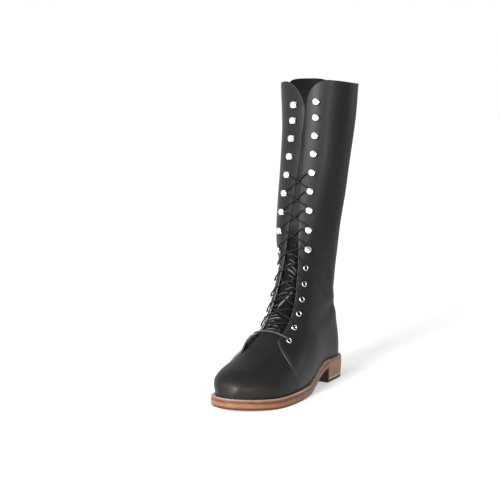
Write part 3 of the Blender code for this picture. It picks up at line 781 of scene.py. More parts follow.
def new_mesh(name, points, faces, finishes, marks=None, kinds=None, weld=False):
    """Smooth mesh from points in millimetres, with its faces turned outwards."""
    mesh = bpy.data.meshes.new(name)
    mesh.from_pydata(np.asarray(points, float) * MM, [], faces)
    mark_points(mesh, marks)
    for material in finishes:
        mesh.materials.append(material)
    if kinds is not None:
        mesh.polygons.foreach_set("material_index", np.asarray(kinds, np.int32))
    shape = bmesh.new()
    shape.from_mesh(mesh)
    if weld:
        bmesh.ops.remove_doubles(shape, verts=shape.verts, dist=WELD)
    bmesh.ops.recalc_face_normals(shape, faces=shape.faces)
    shape.to_mesh(mesh)
    shape.free()
    mesh.shade_smooth()
    return mesh


def add_piece(
        name, points, faces, finishes, nodes,
        marks=None, kinds=None, weld=False, sharp=LEATHER_SHARP):
    """Piece from points in millimetres, riding on the boot in place of some of the frame's nodes."""
    mesh = new_mesh(name, points, faces, finishes, marks, kinds, weld)
    mesh.set_sharp_from_angle(angle=math.radians(sharp))
    return show_mesh(name, mesh, nodes)


def show_mesh(name, mesh, nodes, matrix=None):
    """Object for a mesh, riding on the boot."""
    obj = bpy.data.objects.new(name, mesh)
    bpy.context.scene.collection.objects.link(obj)
    if matrix is not None:
        obj.matrix_world = matrix
    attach(obj, "root")
    if nodes:
        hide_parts(*nodes)
    return obj


def grid_faces(index):
    """Quads over a grid of point numbers."""
    corners = (index[:-1, :-1], index[:-1, 1:], index[1:, 1:], index[1:, :-1])
    return np.stack([c.ravel() for c in corners], axis=1).tolist()


def loft(rings, runs_round=False):
    """Points and faces through closed rings of points; a loft that doesn't run round is capped."""
    rings = np.asarray(rings, float)
    count, around = rings.shape[:2]
    index = np.arange(count * around).reshape(count, around)
    wrapped = np.concatenate([index, index[:, :1]], axis=1)
    if runs_round:
        wrapped = np.concatenate([wrapped, wrapped[:1]], axis=0)
    faces = grid_faces(wrapped)
    if not runs_round:
        faces += [index[0].tolist(), index[-1].tolist()]
    return rings.reshape(-1, 3), faces


def gather(parts):
    """One set of points and faces from several."""
    points = []
    faces = []
    for some_points, some_faces in parts:
        start = sum(len(p) for p in points)
        points.append(some_points)
        faces += [[start + k for k in face] for face in some_faces]
    return np.concatenate(points), faces


GRAIN_SIDE = 0
FLESH_SIDE = 1
CUT_EDGE = 2


def leather_panel(outer, inner, gaps, borders):
    """Closed leather panel between two grids of points. Gaps are columns with no leather after them, and
    borders are runs of (row, column) where the cut edge shows."""
    shape = outer.shape[:2]
    front = np.arange(outer.shape[0] * outer.shape[1]).reshape(shape)
    back = front + front.size
    faces = []
    kinds = []
    starts = [0] + [gap + 1 for gap in gaps]
    ends = list(gaps) + [shape[1] - 1]
    for start, end in zip(starts, ends):
        for layer, kind in ((front, GRAIN_SIDE), (back, FLESH_SIDE)):
            some = grid_faces(layer[:, start:end + 1])
            faces += some
            kinds += [kind] * len(some)
    for border in borders:
        for (r0, c0), (r1, c1) in zip(border, border[1:]):
            faces.append([front[r0, c0], front[r1, c1], back[r1, c1], back[r0, c0]])
            kinds.append(CUT_EDGE)
    return np.concatenate([outer.reshape(-1, 3), inner.reshape(-1, 3)]), faces, kinds


def all_round(rows, width):
    """Borders along all four sides of a panel."""
    return [
        [(r, 0) for r in range(rows)], [(r, width - 1) for r in range(rows)],
        [(0, c) for c in range(width)], [(rows - 1, c) for c in range(width)],
    ]


# Upper

EDGE_ROUND = 0.6  # rounding of a cut edge
EDGE_STEPS = [0.0, 0.05, 0.16, 0.34, 0.6, 1.2]  # columns next to a cut edge
QUARTER_COLUMNS = 72
FOOT_ROWS = 74
SHAFT_ROWS = 150
VAMP_ROWS = 120
VAMP_COLUMNS = 150
QUARTER_EDGE = {LATERAL: 1.1, MEDIAL: 1.9}  # thickness of the quarters at their front edge
VAMP_SINK = 1.8  # of the vamp under the quarters
VAMP_REAR = 1.2  # its thickness there
VAMP_LAP = 0.85  # sections that the vamp goes on under them
VAMP_DIVE = (-0.15, 0.7)  # sections from their front edge over which it sinks
VAMP_FIT = 7.5  # section whose lengths give their front edge its place on it
THROAT_FOOT = 8.2  # section where the vamp ends under the lowest lace
RIM_DROP = RIM_GAP - 0.05  # the upper's rim goes down to the welt
RIM_BLEND = 9.0

FRONT_ROW = 6.5  # section near the quarters' front edge
FOOT_GAP = 22.0  # from one section to the next there
SHAFT_GAP = 62.0  # and at the collar
COLUMN_POWER = 1.35  # columns crowd towards the throat

# Section of each quarter's front edge, by the share of the way from the throat to the feather line
QUARTER_FRONT = {
    LATERAL: [(0.0, 7.60), (0.106, 7.25), (0.268, 6.95), (0.5, 6.70), (1.0, 6.50)],
    MEDIAL: [
        (0.0, 7.60), (0.012, 7.30), (0.03, 6.95), (0.06, 6.62), (0.12, 6.40), (0.25, 6.28), (1.0, 6.20),
    ],
}
FLAP_START = {LATERAL: 0.0, MEDIAL: 6.9}  # section from where the front edge settles on the vamp
SETTLE = (0.15, 0.8)  # sections behind it over which a quarter settles
QUARTER_LIFT = {LATERAL: 1.1, MEDIAL: 2.2}  # of the front edge over the vamp
FRONT_FADE = 0.93  # share of that lift and of the edge lost towards the feather line
FADE_SHARES = (0.22, 0.6)  # shares of the way there over which it is lost
CURL = 5.0  # lift of the inner quarter's loose corner
CURL_WINDOW = ((6.5, 7.5), (7.6, 8.7))  # sections where the curl starts and ends
CURL_WIDTH = 11.5  # from the cut edge
SEAM_DEPTH = 0.4  # of the back seam's groove
SEAM_WIDTH = 1.6

# Wear of the leather, from 0 to 1, with a painted highlight along the cut edges
EDGE_RUB_AND_SHEEN = {LATERAL: 0.45, MEDIAL: 0.6}  # along the cut edges: rubbing and painted highlight
EDGE_RUB_AND_SHEEN_WIDTH = 1.3
EDGE_RUB_AND_SHEEN_LOSS = 0.5  # share of it lost up the facings
EDGE_RUB_AND_SHEEN_FADE = (9.0, 12.0)  # sections over which it is lost
RIDGE_WEAR = 0.30  # on the creases' ridges
RIM_WEAR = 0.2  # just over the welt
RIM_WEAR_PLACE = 1.0
RIM_WEAR_WIDTH = 1.6

# Main creases on the quarters: troughs from one point to another, by side
Crease = namedtuple("Crease", "side s0 z0 s1 z1 width depth")
CREASES = [
    Crease(LATERAL, 12, 112, 60, 100, 8.0, 1.1),
    Crease(LATERAL, 52, 101, 116, 84, 11.0, 0.9),
    Crease(LATERAL, 14, 128, 92, 116, 9.0, 0.5),
    Crease(LATERAL, 92, 168, 62, 150, 8.0, 0.4),
    Crease(MEDIAL, 12, 112, 60, 102, 8.0, 1.1),
    Crease(MEDIAL, 52, 103, 112, 88, 11.0, 0.9),
    Crease(MEDIAL, 14, 129, 95, 118, 9.0, 0.6),
    Crease(MEDIAL, 94, 166, 60, 148, 8.0, 0.5),
]
CREASE_WINDOW = ((-0.25, 0.2), (0.75, 1.2))  # shares of its run where a crease comes in and goes out
CREASE_WANDER = 2.0  # of its line to either side
CREASE_BENDS = 5.0  # radians of that wander over its run
SHOULDER_PLACE = 1.5  # of the ridge beside a trough, in widths
SHOULDER_SHARE = 0.45  # its height for the trough's depth
CREASE_FADE = (16.0, 34.0)  # distances from the throat's edge over which creases come in

# Slow waves of the shaft: height, radians to the millimetre up it, waves around it, and start
Wave = namedtuple("Wave", "height climb around start")
WAVES = [Wave(0.45, 0.031, 2.0, 0.6), Wave(0.30, 0.055, -3.0, 2.1)]
WAVE_HEIGHTS = (110.0, 190.0)  # heights over which they come in
WAVE_FADE = (10.0, 40.0)  # distances from the throat's edge over which they come in
WAVE_BASE_FADE = (0.0, 14.0)  # and from the base
SHAFT_MIDDLE_Y = 78.0


def quarter_front(share, side):
    """Section number of a quarter's front edge."""
    table = QUARTER_FRONT[side]
    return smooth([row[0] for row in table], [row[1] for row in table], share)


def front_rest(u, front, side):
    """1 on a quarter's front edge and 0 where it has settled behind it."""
    return 1 - ease(*SETTLE, u - np.maximum(front, FLAP_START[side]))


def front_lift(u, front, shares, side):
    """Lift of a quarter near its front edge, lower towards the feather line."""
    return QUARTER_LIFT[side] * (1 - FRONT_FADE * ease(*FADE_SHARES, shares)) * front_rest(u, front, side)


def edge_curl(u, nearest, side):
    """Lift of the inner quarter's loose corner under the lowest lace, which curls away from the vamp."""
    return (side == MEDIAL) * CURL * between(CURL_WINDOW, u) * (1 - ease(0, CURL_WIDTH, nearest))


def edge_rounding(distance):
    """How far a rounded cut edge lies below the face at a distance from it."""
    reach = EDGE_ROUND - np.clip(distance, 0, EDGE_ROUND)
    return EDGE_ROUND - np.sqrt(EDGE_ROUND**2 - reach**2)


def creases(side, points):
    """Lift of the main creases, and how far a point is on one of their ridges."""
    s = CENTRE_S - points[..., 1]
    z = points[..., 2]
    lift = np.zeros(s.shape)
    ridge = np.zeros(s.shape)
    for crease in CREASES:
        if crease.side != side:
            continue
        run = np.array([crease.s1 - crease.s0, crease.z1 - crease.z0], float)
        length = np.hypot(*run)
        run /= length
        on = ((s - crease.s0) * run[0] + (z - crease.z0) * run[1]) / length
        off = -(s - crease.s0) * run[1] + (z - crease.z0) * run[0]
        window = between(CREASE_WINDOW, on)
        wave = off + CREASE_WANDER * np.sin(on * CREASE_BENDS)
        beside = SHOULDER_PLACE * crease.width
        trough = bell(wave, crease.width)
        shoulder = bell(wave - beside, crease.width) + bell(wave + beside, crease.width)
        lift += crease.depth * window * (SHOULDER_SHARE * shoulder - trough)
        ridge += window * shoulder / 2
    return lift, ridge


def undulation(points):
    """Slow waves of a shaft that stands by itself."""
    x, y, z = np.moveaxis(points, -1, 0)
    around = np.arctan2(y - SHAFT_MIDDLE_Y, x)
    lift = sum(w.height * np.sin(w.climb * z + w.around * around + w.start) for w in WAVES)
    return ease(*WAVE_HEIGHTS, z) * lift


def row_spread(first, last, count):
    """Section numbers whose rows lie about evenly apart on the skin."""
    numbers = np.linspace(first, last, 400)
    half = Skin.HALF
    rows = SKIN.points[np.clip((numbers * Skin.CUTS).astype(int), 0, len(SKIN.u) - 1)]
    lines = rows[:, [half // 3, half, 2 * half]]
    steps = np.linalg.norm(np.diff(lines, axis=0), axis=2).max(axis=1) + 1e-4
    reach = np.concatenate([[0.0], np.cumsum(steps)])
    return np.interp(np.linspace(0, reach[-1], count), reach, numbers)


def lower_rim(points, base_distance, on_foot):
    """Bring the skin's rim down to the welt."""
    lowered = points.copy()
    lowered[..., 2] -= RIM_DROP * on_foot * (1 - ease(0, RIM_BLEND, base_distance))
    return lowered


def quarter_shares():
    """Share of the way from the throat to the base for each column of a quarter."""
    spread = np.linspace(0, 1, QUARTER_COLUMNS - len(EDGE_STEPS) + 2)[1:] ** COLUMN_POWER
    return np.concatenate([np.zeros(len(EDGE_STEPS)), spread])


def quarter_rows():
    """Shares of the way from the front edge to the back seam's start, and the shaft's section numbers."""
    spread = row_spread(FRONT_ROW, BACK_SEAM_START, FOOT_ROWS) - FRONT_ROW
    spread /= spread[-1]
    close = np.array(EDGE_STEPS) / FOOT_GAP / (BACK_SEAM_START - FRONT_ROW)
    foot = np.concatenate([close, spread[spread > close[-1] * 1.5]])
    top = LAST - np.array(EDGE_STEPS[::-1]) / SHAFT_GAP
    shaft = row_spread(BACK_SEAM_START, LAST, SHAFT_ROWS)[1:]
    return foot, np.concatenate([shaft[shaft < top[0] - 0.01], top])


def rim_wear(base_distance):
    """Wear of the leather just over the welt."""
    return RIM_WEAR * bell(base_distance - RIM_WEAR_PLACE, RIM_WEAR_WIDTH)


def quarter_face(side):
    """Grain face, flesh face, and wear with painted highlight along the cut edges, of one quarter."""
    shares = quarter_shares()
    foot, shaft = quarter_rows()
    front = quarter_front(shares, side)
    u = np.concatenate([
        front + np.outer(foot, BACK_SEAM_START - front), np.repeat(shaft[:, None], len(shares), axis=1)])
    edge = throat_edge(u, side)
    room = SKIN.reach(u, side) - edge
    distance = np.empty_like(u)
    close = len(EDGE_STEPS)
    distance[:, :close] = EDGE_STEPS
    distance[:, close:] = EDGE_STEPS[-1] + (room[:, close:] - EDGE_STEPS[-1]) * shares[close:]
    points, out = SKIN.read(u, side * (edge + distance))
    rest = front_rest(u, front, side)
    thick = WALL - (WALL - QUARTER_EDGE[side]) * rest
    crease, ridge = creases(side, points)
    inset = ease(*CREASE_FADE, distance)
    base_distance = room - distance
    waves = undulation(points) * ease(*WAVE_FADE, distance) * ease(*WAVE_BASE_FADE, base_distance)
    seam = np.where(u >= BACK_SEAM_START, SEAM_DEPTH * bell(base_distance, SEAM_WIDTH), 0.0)
    cut = np.minimum(distance, (u - front) * FOOT_GAP)
    nearest = np.minimum(cut, (LAST - u) * SHAFT_GAP)
    face = front_lift(u, front, shares, side) + edge_curl(u, cut, side) + crease * inset - seam + waves
    points[..., 2] -= collar_drop(side, points[..., 2], distance)
    points = lower_rim(points, base_distance, u < BACK_SEAM_START)
    low_edge = FRONT_FADE * ease(*FADE_SHARES, shares) * (u < BACK_SEAM_START)
    outer = points + out * (face - edge_rounding(nearest) * (1 - low_edge))[..., None]
    inner = points + out * (face - thick)[..., None]
    # Rubbing and painted highlight along the cut edges, fading towards the feather line
    rub_and_sheen = EDGE_RUB_AND_SHEEN[side] * bell(nearest, EDGE_RUB_AND_SHEEN_WIDTH) * (1 - low_edge)
    rub_and_sheen *= 1 - EDGE_RUB_AND_SHEEN_LOSS * ease(*EDGE_RUB_AND_SHEEN_FADE, u)
    wear_and_sheen = rub_and_sheen + RIDGE_WEAR * ridge * inset + rim_wear(base_distance)
    return outer, inner, wear_and_sheen


def add_quarters(finishes):
    """Both quarters with the shaft, joined at the back seam, with punched eyelet holes."""
    outer, inner, wear_and_sheen = (
        np.concatenate([lateral, medial[:, ::-1]], axis=1)
        for lateral, medial in zip(quarter_face(LATERAL), quarter_face(MEDIAL)))
    rows, width = outer.shape[:2]
    seam = width // 2 - 1
    foot = len(quarter_rows()[0])
    for face in (outer, inner):
        face[foot - 1:, seam:seam + 2] = face[foot - 1:, seam:seam + 2].mean(axis=1, keepdims=True)
    borders = [
        [(r, 0) for r in range(rows)],
        [(r, width - 1) for r in range(rows)],
        [(r, seam) for r in range(foot)],
        [(r, seam + 1) for r in range(foot)],
    ]
    for start, end in ((0, seam + 1), (seam + 1, width)):
        borders.append([(0, c) for c in range(start, end)])
        borders.append([(rows - 1, c) for c in range(start, end)])
    points, quads, kinds = leather_panel(outer, inner, [seam], borders)
    marks = {"wear_and_sheen": np.tile(wear_and_sheen.ravel(), 2)}
    quarters = add_piece(
        "quarters", points, quads, finishes, ["upper"], marks, kinds, weld=True)
    punch_eyelets(quarters)


def add_vamp(finishes):
    """Vamp from the toe to under the quarters."""
    columns = np.linspace(-1, 1, VAMP_COLUMNS + 1)
    spread = row_spread(0, THROAT_FOOT, VAMP_ROWS) / THROAT_FOOT
    edge = throat_half(VAMP_FIT)
    side_reach = by_side(columns, lambda side: SKIN.reach(VAMP_FIT, side))
    shares = np.clip((np.abs(columns) * side_reach - edge) / (side_reach - edge), 0, 1)
    front = by_side(columns, lambda side: quarter_front(shares, side))
    u = np.outer(spread, np.minimum(front + VAMP_LAP, THROAT_FOOT))
    reach = by_side(columns, lambda side: SKIN.reach(u, side))
    arcs = reach * columns
    points, out = SKIN.read(u, arcs)
    under = ease(*VAMP_DIVE, u - front)
    lift = -VAMP_SINK * under
    thick = WALL - (WALL - VAMP_REAR) * under
    base_distance = reach - np.abs(arcs)
    points = lower_rim(points, base_distance, np.ones_like(u))
    outer = points + out * lift[..., None]
    inner = points + out * (lift - thick)[..., None]
    panel, quads, kinds = leather_panel(outer, inner, [], all_round(*u.shape))
    marks = {"wear_and_sheen": np.tile(rim_wear(base_distance).ravel(), 2)}
    add_piece("vamp", panel, quads, finishes, ["upper"], marks, kinds)


# Tongue

TONGUE = 1.6
FOLD_ROWS = 260  # rows of the tongue's folded part
TONGUE_ROWS = 90  # and over it
FOLDED_TO = 200.0  # height where they end
TONGUE_COLUMNS = 84
TONGUE_DEPTH = 3.1
LOW_DEPTH = 3.7  # under the vamp
VAMP_END = (84.0, 92.0)  # heights over which the tongue comes out from under the vamp
LACE_ROOM = 1.5  # the tongue's sides lie this much deeper where the lace dips under the facings
LACED = ((88.0, 98.0), (172.0, 186.0))  # heights where that starts and ends
UNDER_FACING = (-6.0, 0.5)  # distances past the throat's edge over which it comes in
TONGUE_BULGE = 1.2  # of its middle in the open throat
OPEN_THROAT = ((86.0, 100.0), (175.0, 215.0))  # heights where the throat opens and closes
BULGE_FADE = (0.4, 1.0)  # shares of the way to the throat's edge over which the bulge goes
TOP_DROP = 7.0  # of the tongue's two top corners
TOP_BEND = 30.0  # height over which they drop
FOLD_SHEEN_FROM = 0.45  # height of a fold from where its crest gets a painted highlight
FOLD_SHEEN = 1.5  # painted highlight for each millimetre over that
UPPER_LIGHTENING = 0.17  # painted lightening of the tongue over its folds, against the throat's shade
# Heights where that painted lightening comes in and goes out
UPPER_LIGHTENING_HEIGHTS = ((190.0, 225.0), (345.0, 390.0))

# Folds of the tongue: ridges at a height and arc, with their tilt, half length, width and height
Fold = namedtuple("Fold", "z arc tilt half width height")
FOLDS = [
    Fold(87.5, 1, 0.05, 17, 1.1, 0.9),
    Fold(91.5, -3, -0.05, 15, 1.0, 1.0),
    Fold(95, -6, 0.10, 10, 1.0, 1.1),
    Fold(98.5, -2, 0.16, 12, 1.1, 1.2),
    Fold(102, -5, 0.10, 9, 1.0, 1.1),
    Fold(105.5, -8, -0.05, 7, 1.1, 1.0),
    Fold(109.5, -2, 0.20, 8, 1.0, 0.8),
    Fold(114, -9, 0.10, 6, 1.1, 0.9),
    Fold(117, 1, 1.20, 5, 1.8, 1.0),
    Fold(121, 5, 1.60, 8, 2.6, 1.5),
    Fold(128, -3, 0.25, 11, 1.0, 0.9),
    Fold(135, 5, 0.50, 6, 1.1, 0.9),
    Fold(143, 0, 0.20, 12, 1.0, 0.9),
    Fold(150, 5, -0.30, 6, 1.2, 0.8),
    Fold(156, 4, -0.40, 8, 1.2, 1.3),
    Fold(160.5, 7, -0.60, 6, 1.2, 1.4),
    Fold(164, -3, 0.35, 7, 1.1, 1.1),
    Fold(169, 3, -0.50, 6, 1.2, 1.0),
    Fold(177, -1, 0.10, 7, 1.3, 0.7),
    Fold(189, 2, -0.10, 6, 1.6, 0.6),
]
FOLD_FADE = (0.55, 1.1)  # shares of its half length over which a fold goes out
FURROW_SHARE = 0.6  # depth of the furrow under a fold for its height
FURROW_PLACE = 1.7  # below the fold, in widths


def folds(z, arc):
    """Lift of the tongue's folds."""
    lift = np.zeros(z.shape)
    for fold in FOLDS:
        off = (z - fold.z) - fold.tilt * (arc - fold.arc)
        window = 1 - ease(*FOLD_FADE, np.abs(arc - fold.arc) / fold.half)
        furrow = bell(off + FURROW_PLACE * fold.width, fold.width)
        lift += fold.height * window * (bell(off, fold.width) - FURROW_SHARE * furrow)
    return lift


def add_tongue(finishes):
    """Full tongue behind the throat, folded where the boot bends."""
    folded = np.linspace(column("front_z", TONGUE_START), FOLDED_TO, FOLD_ROWS, endpoint=False)
    heights = np.concatenate([folded, np.linspace(FOLDED_TO, BOOT_HEIGHT + TONGUE_ABOVE, TONGUE_ROWS)])
    turns = np.linspace(-1, 1, TONGUE_COLUMNS + 1)
    z = np.repeat(heights[:, None], len(turns), axis=1)
    u = np.minimum(section_at(z), LAST - 0.02)
    arc = straight(TONGUE_HALF, z) * turns
    edge = by_side(arc, lambda side: throat_edge(u, side))
    aside = ease(*UNDER_FACING, np.abs(arc) - edge)
    bulge = between(OPEN_THROAT, z) * (1 - ease(*BULGE_FADE, np.abs(arc) / edge))
    depth = TONGUE_DEPTH + (LOW_DEPTH - TONGUE_DEPTH) * (1 - ease(*VAMP_END, z))
    depth += LACE_ROOM * between(LACED, z) * aside - TONGUE_BULGE * bulge
    crest = folds(z, arc)
    depth -= crest * (1 - aside)
    points, out = SKIN.read(u, arc)
    points[..., 2] += z - column("front_z", u)
    points[..., 2] -= TOP_DROP * ease(BOOT_HEIGHT - TOP_BEND, BOOT_HEIGHT + TONGUE_ABOVE, z) * turns**4
    outer = points - out * depth[..., None]
    inner = points - out * (depth + TONGUE)[..., None]
    panel, quads, kinds = leather_panel(outer, inner, [], all_round(*u.shape))
    # Painted highlight on the folds' crests, and painted lightening higher up the tongue
    wear_and_sheen = np.clip(FOLD_SHEEN * (crest - FOLD_SHEEN_FROM), 0, 1) + UPPER_LIGHTENING * between(UPPER_LIGHTENING_HEIGHTS, z)
    marks = {"wear_and_sheen": np.tile(wear_and_sheen.ravel(), 2)}
    add_piece("tongue_leather", panel, quads, finishes, ["tongue"], marks, kinds)


# Eyelets and hooks

# Section of a ring eyelet: radius, and height over the leather
EYELET_PROFILE = [
    (3.80, 0.08), (3.78, 0.36), (3.62, 0.70), (3.32, 0.96), (3.00, 1.06), (2.70, 1.00), (2.42, 0.76),
    (2.25, 0.40), (2.18, -0.20), (2.18, -2.40), (2.62, -2.50), (2.62, -0.10), (3.10, 0.02),
]
EYELET_TURNS = 36
BARREL_RADIUS = 2.5  # the painted shade inside the barrel is within this radius
BARREL_TOP = 0.5  # and below this height
EYELET_HOLE = 2.75
HOLE_SIDES = 24
PUNCH_LENGTH = 12.0
ACROSS_STEP = 0.6  # steps to either side that give a facing's directions: along the skin
RISE_STEP = 0.03  # and in section numbers

# Middle line of a hook's bent strip: out from the throat and up from the leather, with half-width and crown
HookStation = namedtuple("HookStation", "out up half crown")
HOOK_STATIONS = [
    HookStation(4.10, 0.62, 0.5, 0.0),
    HookStation(3.70, 0.66, 1.9, 0.0),
    HookStation(2.60, 0.72, 3.1, 0.1),
    HookStation(0.80, 0.76, 3.9, 0.1),
    HookStation(-1.20, 0.76, 3.8, 0.1),
    HookStation(-2.80, 0.76, 2.9, 0.0),
    HookStation(-3.75, 0.98, 2.1, 0.0),
    HookStation(-4.15, 1.75, 1.8, 0.0),
    HookStation(-4.20, 2.70, 1.8, 0.0),
    HookStation(-3.90, 3.55, 2.1, 0.1),
    HookStation(-3.05, 4.12, 3.0, 0.3),
    HookStation(-1.60, 4.38, 3.9, 0.6),
    HookStation(0.40, 4.52, 4.3, 0.8),
    HookStation(2.30, 4.50, 3.9, 0.7),
    HookStation(3.60, 4.38, 2.8, 0.4),
    HookStation(4.25, 4.24, 1.2, 0.1),
    HookStation(4.40, 4.20, 0.4, 0.0),
]
HOOK_THICKNESS = 0.42  # half of the strip's
HOOK_TIP = 0.35  # share of it left where the strip would narrow to nothing
HOOK_SQUARE = 0.8  # power that squares the strip's section
FOOT_CROWN = 0.3  # share of the crown that the flat foot keeps
HOOK_STEPS = 52
HOOK_AROUND = 22


def hook_heights(side):
    """Heights of one side's hooks."""
    return [z if side == LATERAL else z - MEDIAL_HOOK_DROP for z in HOOK_HEIGHTS]


def facing_frame(side, z):
    """Point of an eyelet or hook, with the directions away from the throat, up the facing and out."""
    u = section_at(z)
    arc = side * (throat_half(u) + FACING_MARGIN)
    across = SKIN.over(u, arc + ACROSS_STEP) - SKIN.over(u, arc - ACROSS_STEP)
    rise = SKIN.over(u + RISE_STEP, arc) - SKIN.over(u - RISE_STEP, arc)
    out = unit(np.cross(across, rise))
    away = side * unit(across)
    return SKIN.over(u, arc), away, side * np.cross(out, away), out


def frame_matrix(point, x_axis, y_axis, z_axis):
    """Placing matrix, in metres, from a point in millimetres and three directions."""
    matrix = Matrix.Identity(4)
    for k, axis in enumerate((x_axis, y_axis, z_axis, point * MM)):
        for i in range(3):
            matrix[i][k] = axis[i]
    return matrix


def add_eyelets(material):
    """Six rolled ring eyelets on each facing."""
    turns = np.linspace(0, 2 * np.pi, EYELET_TURNS, endpoint=False)
    radius, height = np.array(EYELET_PROFILE).T
    rings = [np.stack([radius * np.cos(t), radius * np.sin(t), height], axis=1) for t in turns]
    barrel = np.tile((height < BARREL_TOP) & (radius < BARREL_RADIUS), EYELET_TURNS)
    mesh = new_mesh("eyelet_ring", *loft(rings, runs_round=True), [material], {"barrel": barrel})
    for side in (LATERAL, MEDIAL):
        for number, z in enumerate(EYELET_HEIGHTS, 1):
            point, away, up, out = facing_frame(side, z)
            matrix = frame_matrix(point, side * away, up, out)
            name = f"{SIDE_NAMES[side]}_{number}"
            show_mesh("ring_" + name, mesh, ["eyelet_" + name], matrix)


def punch_eyelets(quarters):
    """Holes for the eyelets."""
    shape = bmesh.new()
    for side in (LATERAL, MEDIAL):
        for z in EYELET_HEIGHTS:
            point, away, up, out = facing_frame(side, z)
            bmesh.ops.create_cone(
                shape, cap_ends=True, segments=HOLE_SIDES, depth=PUNCH_LENGTH * MM,
                radius1=EYELET_HOLE * MM, radius2=EYELET_HOLE * MM,
                matrix=frame_matrix(point, side * away, up, out))
    mesh = bpy.data.meshes.new("eyelet_pins")
    shape.to_mesh(mesh)
    shape.free()
    pins = bpy.data.objects.new("eyelet_pins", mesh)
    bpy.context.scene.collection.objects.link(pins)
    punch = quarters.modifiers.new("eyelet_holes", "BOOLEAN")
    punch.operation = "DIFFERENCE"
    punch.solver = "EXACT"
    punch.object = pins
    bpy.context.view_layer.update()
    punched = bpy.data.meshes.new_from_object(quarters.evaluated_get(bpy.context.evaluated_depsgraph_get()))
    quarters.modifiers.remove(punch)
    quarters.data = punched
    bpy.data.objects.remove(pins)


def hook_mesh(material):
    """Bent strip with an oval foot, a narrow neck and a domed lip."""
    stations = np.array(HOOK_STATIONS)
    reach = arc_length(np.concatenate([stations[:, :2], np.zeros((len(stations), 1))], axis=1))
    at = np.linspace(0, reach[-1], HOOK_STEPS)
    out, up, half, crown = (smooth(reach, stations[:, k], at) for k in range(4))
    run = unit(np.stack([np.gradient(out), np.gradient(up)], axis=1))
    turns = np.linspace(0, 2 * np.pi, HOOK_AROUND, endpoint=False)
    wide = np.sign(np.cos(turns)) * np.abs(np.cos(turns)) ** HOOK_SQUARE
    thick = np.sign(np.sin(turns)) * np.abs(np.sin(turns)) ** HOOK_SQUARE
    rings = []
    for k in range(HOOK_STEPS):
        body = HOOK_THICKNESS * min(1.0, HOOK_TIP + half[k]) * thick
        dome = crown[k] * (1 - wide**2)
        if run[k, 0] < 0:
            x = out[k] - run[k, 1] * body
            z = up[k] + run[k, 0] * body + FOOT_CROWN * dome
        else:
            x = out[k] - run[k, 1] * (body + dome)
            z = up[k] + run[k, 0] * (body + dome)
        rings.append(np.stack([x, half[k] * wide, z], axis=1))
    return new_mesh("speed_hook", *loft(rings), [material])


def add_hooks(material):
    """Nine speed hooks on each facing, open away from the throat."""
    mesh = hook_mesh(material)
    for side in (LATERAL, MEDIAL):
        for number, z in enumerate(hook_heights(side), 1):
            point, away, up, out = facing_frame(side, z)
            matrix = frame_matrix(point, away, side * up, out)
            name = f"{SIDE_NAMES[side]}_{number}"
            show_mesh("speed_" + name, mesh, ["hook_" + name], matrix)


# Lace

LACE_RADIUS = 1.0
LACE_STEP = 0.45
LACE_AROUND = 14
BRAID_PITCH = 4.2  # length of one turn of the braid
BRAID_RELIEF = 0.13
LACE_TAPER = 0.7  # share of the radius at its two ends
EYELET_CROSSING = {True: 1.5, False: -0.5}  # lift of the upper and the lower strand between eyelets
HOOK_CROSSING = {True: 2.7, False: 0.65}  # and between hooks
HOOK_LEVEL = 2.55  # lace's middle over the leather inside a hook
LACE_SHEEN_REACH = (24.0, 34.0)  # distances from the bar's middle over which its painted highlight ends


def facing_spot(side, z, from_centre, lift):
    """Point over a facing, at a distance from its eyelet towards the throat."""
    u = section_at(z)
    return SKIN.over(u, side * (throat_half(u) + FACING_MARGIN - from_centre), lift)


def hook_spot(side, z, away_by, up_by, level):
    """Point near a hook in its own directions."""
    point, away, up, out = facing_frame(side, z)
    return point + away * away_by + up * up_by + out * level


def up_through_eyelet(side, z):
    """Lace coming up through an eyelet from under the facing."""
    steps = [(FACING_MARGIN - 1.5, -3.15), (5.0, -3.6), (1.6, -3.5), (0.3, -2.2), (0.1, -0.6), (0.6, 1.0)]
    return [facing_spot(side, z, distance, lift) for distance, lift in steps]


def over_flange(side, z, next_z):
    """Lace leaving an eyelet over its flange towards the next crossing."""
    steps = [(2.2, 2.05, 0.05), (4.6, 2.0, 0.12), (8.5, 1.3, 0.22), (FACING_MARGIN - 0.5, 1.1, 0.30)]
    return [facing_spot(side, z + (next_z - z) * turn, distance, lift) for distance, lift, turn in steps]


def round_hook(side, z):
    """Lace round the neck of a hook, under its lip."""
    steps = [
        (-8.0, -4.2, 1.7), (-5.4, -3.3, 2.3), (-3.4, -2.5, HOOK_LEVEL), (-2.2, -1.2, HOOK_LEVEL),
        (-1.95, 0.0, HOOK_LEVEL), (-2.2, 1.2, HOOK_LEVEL), (-3.4, 2.5, HOOK_LEVEL), (-5.4, 3.3, 2.3),
        (-8.0, 4.2, 1.7),
    ]
    return [hook_spot(side, z, *step) for step in steps]


def stop_heights(side):
    """Heights of a side's eyelets and laced hooks, from the lowest up."""
    return EYELET_HEIGHTS + hook_heights(side)[:LACED_HOOKS]


def crossing(low_z, high_z, lift):
    """Middle of a crossing, over the front line."""
    return SKIN.over(section_at((low_z + high_z) / 2), 0.0, lift)


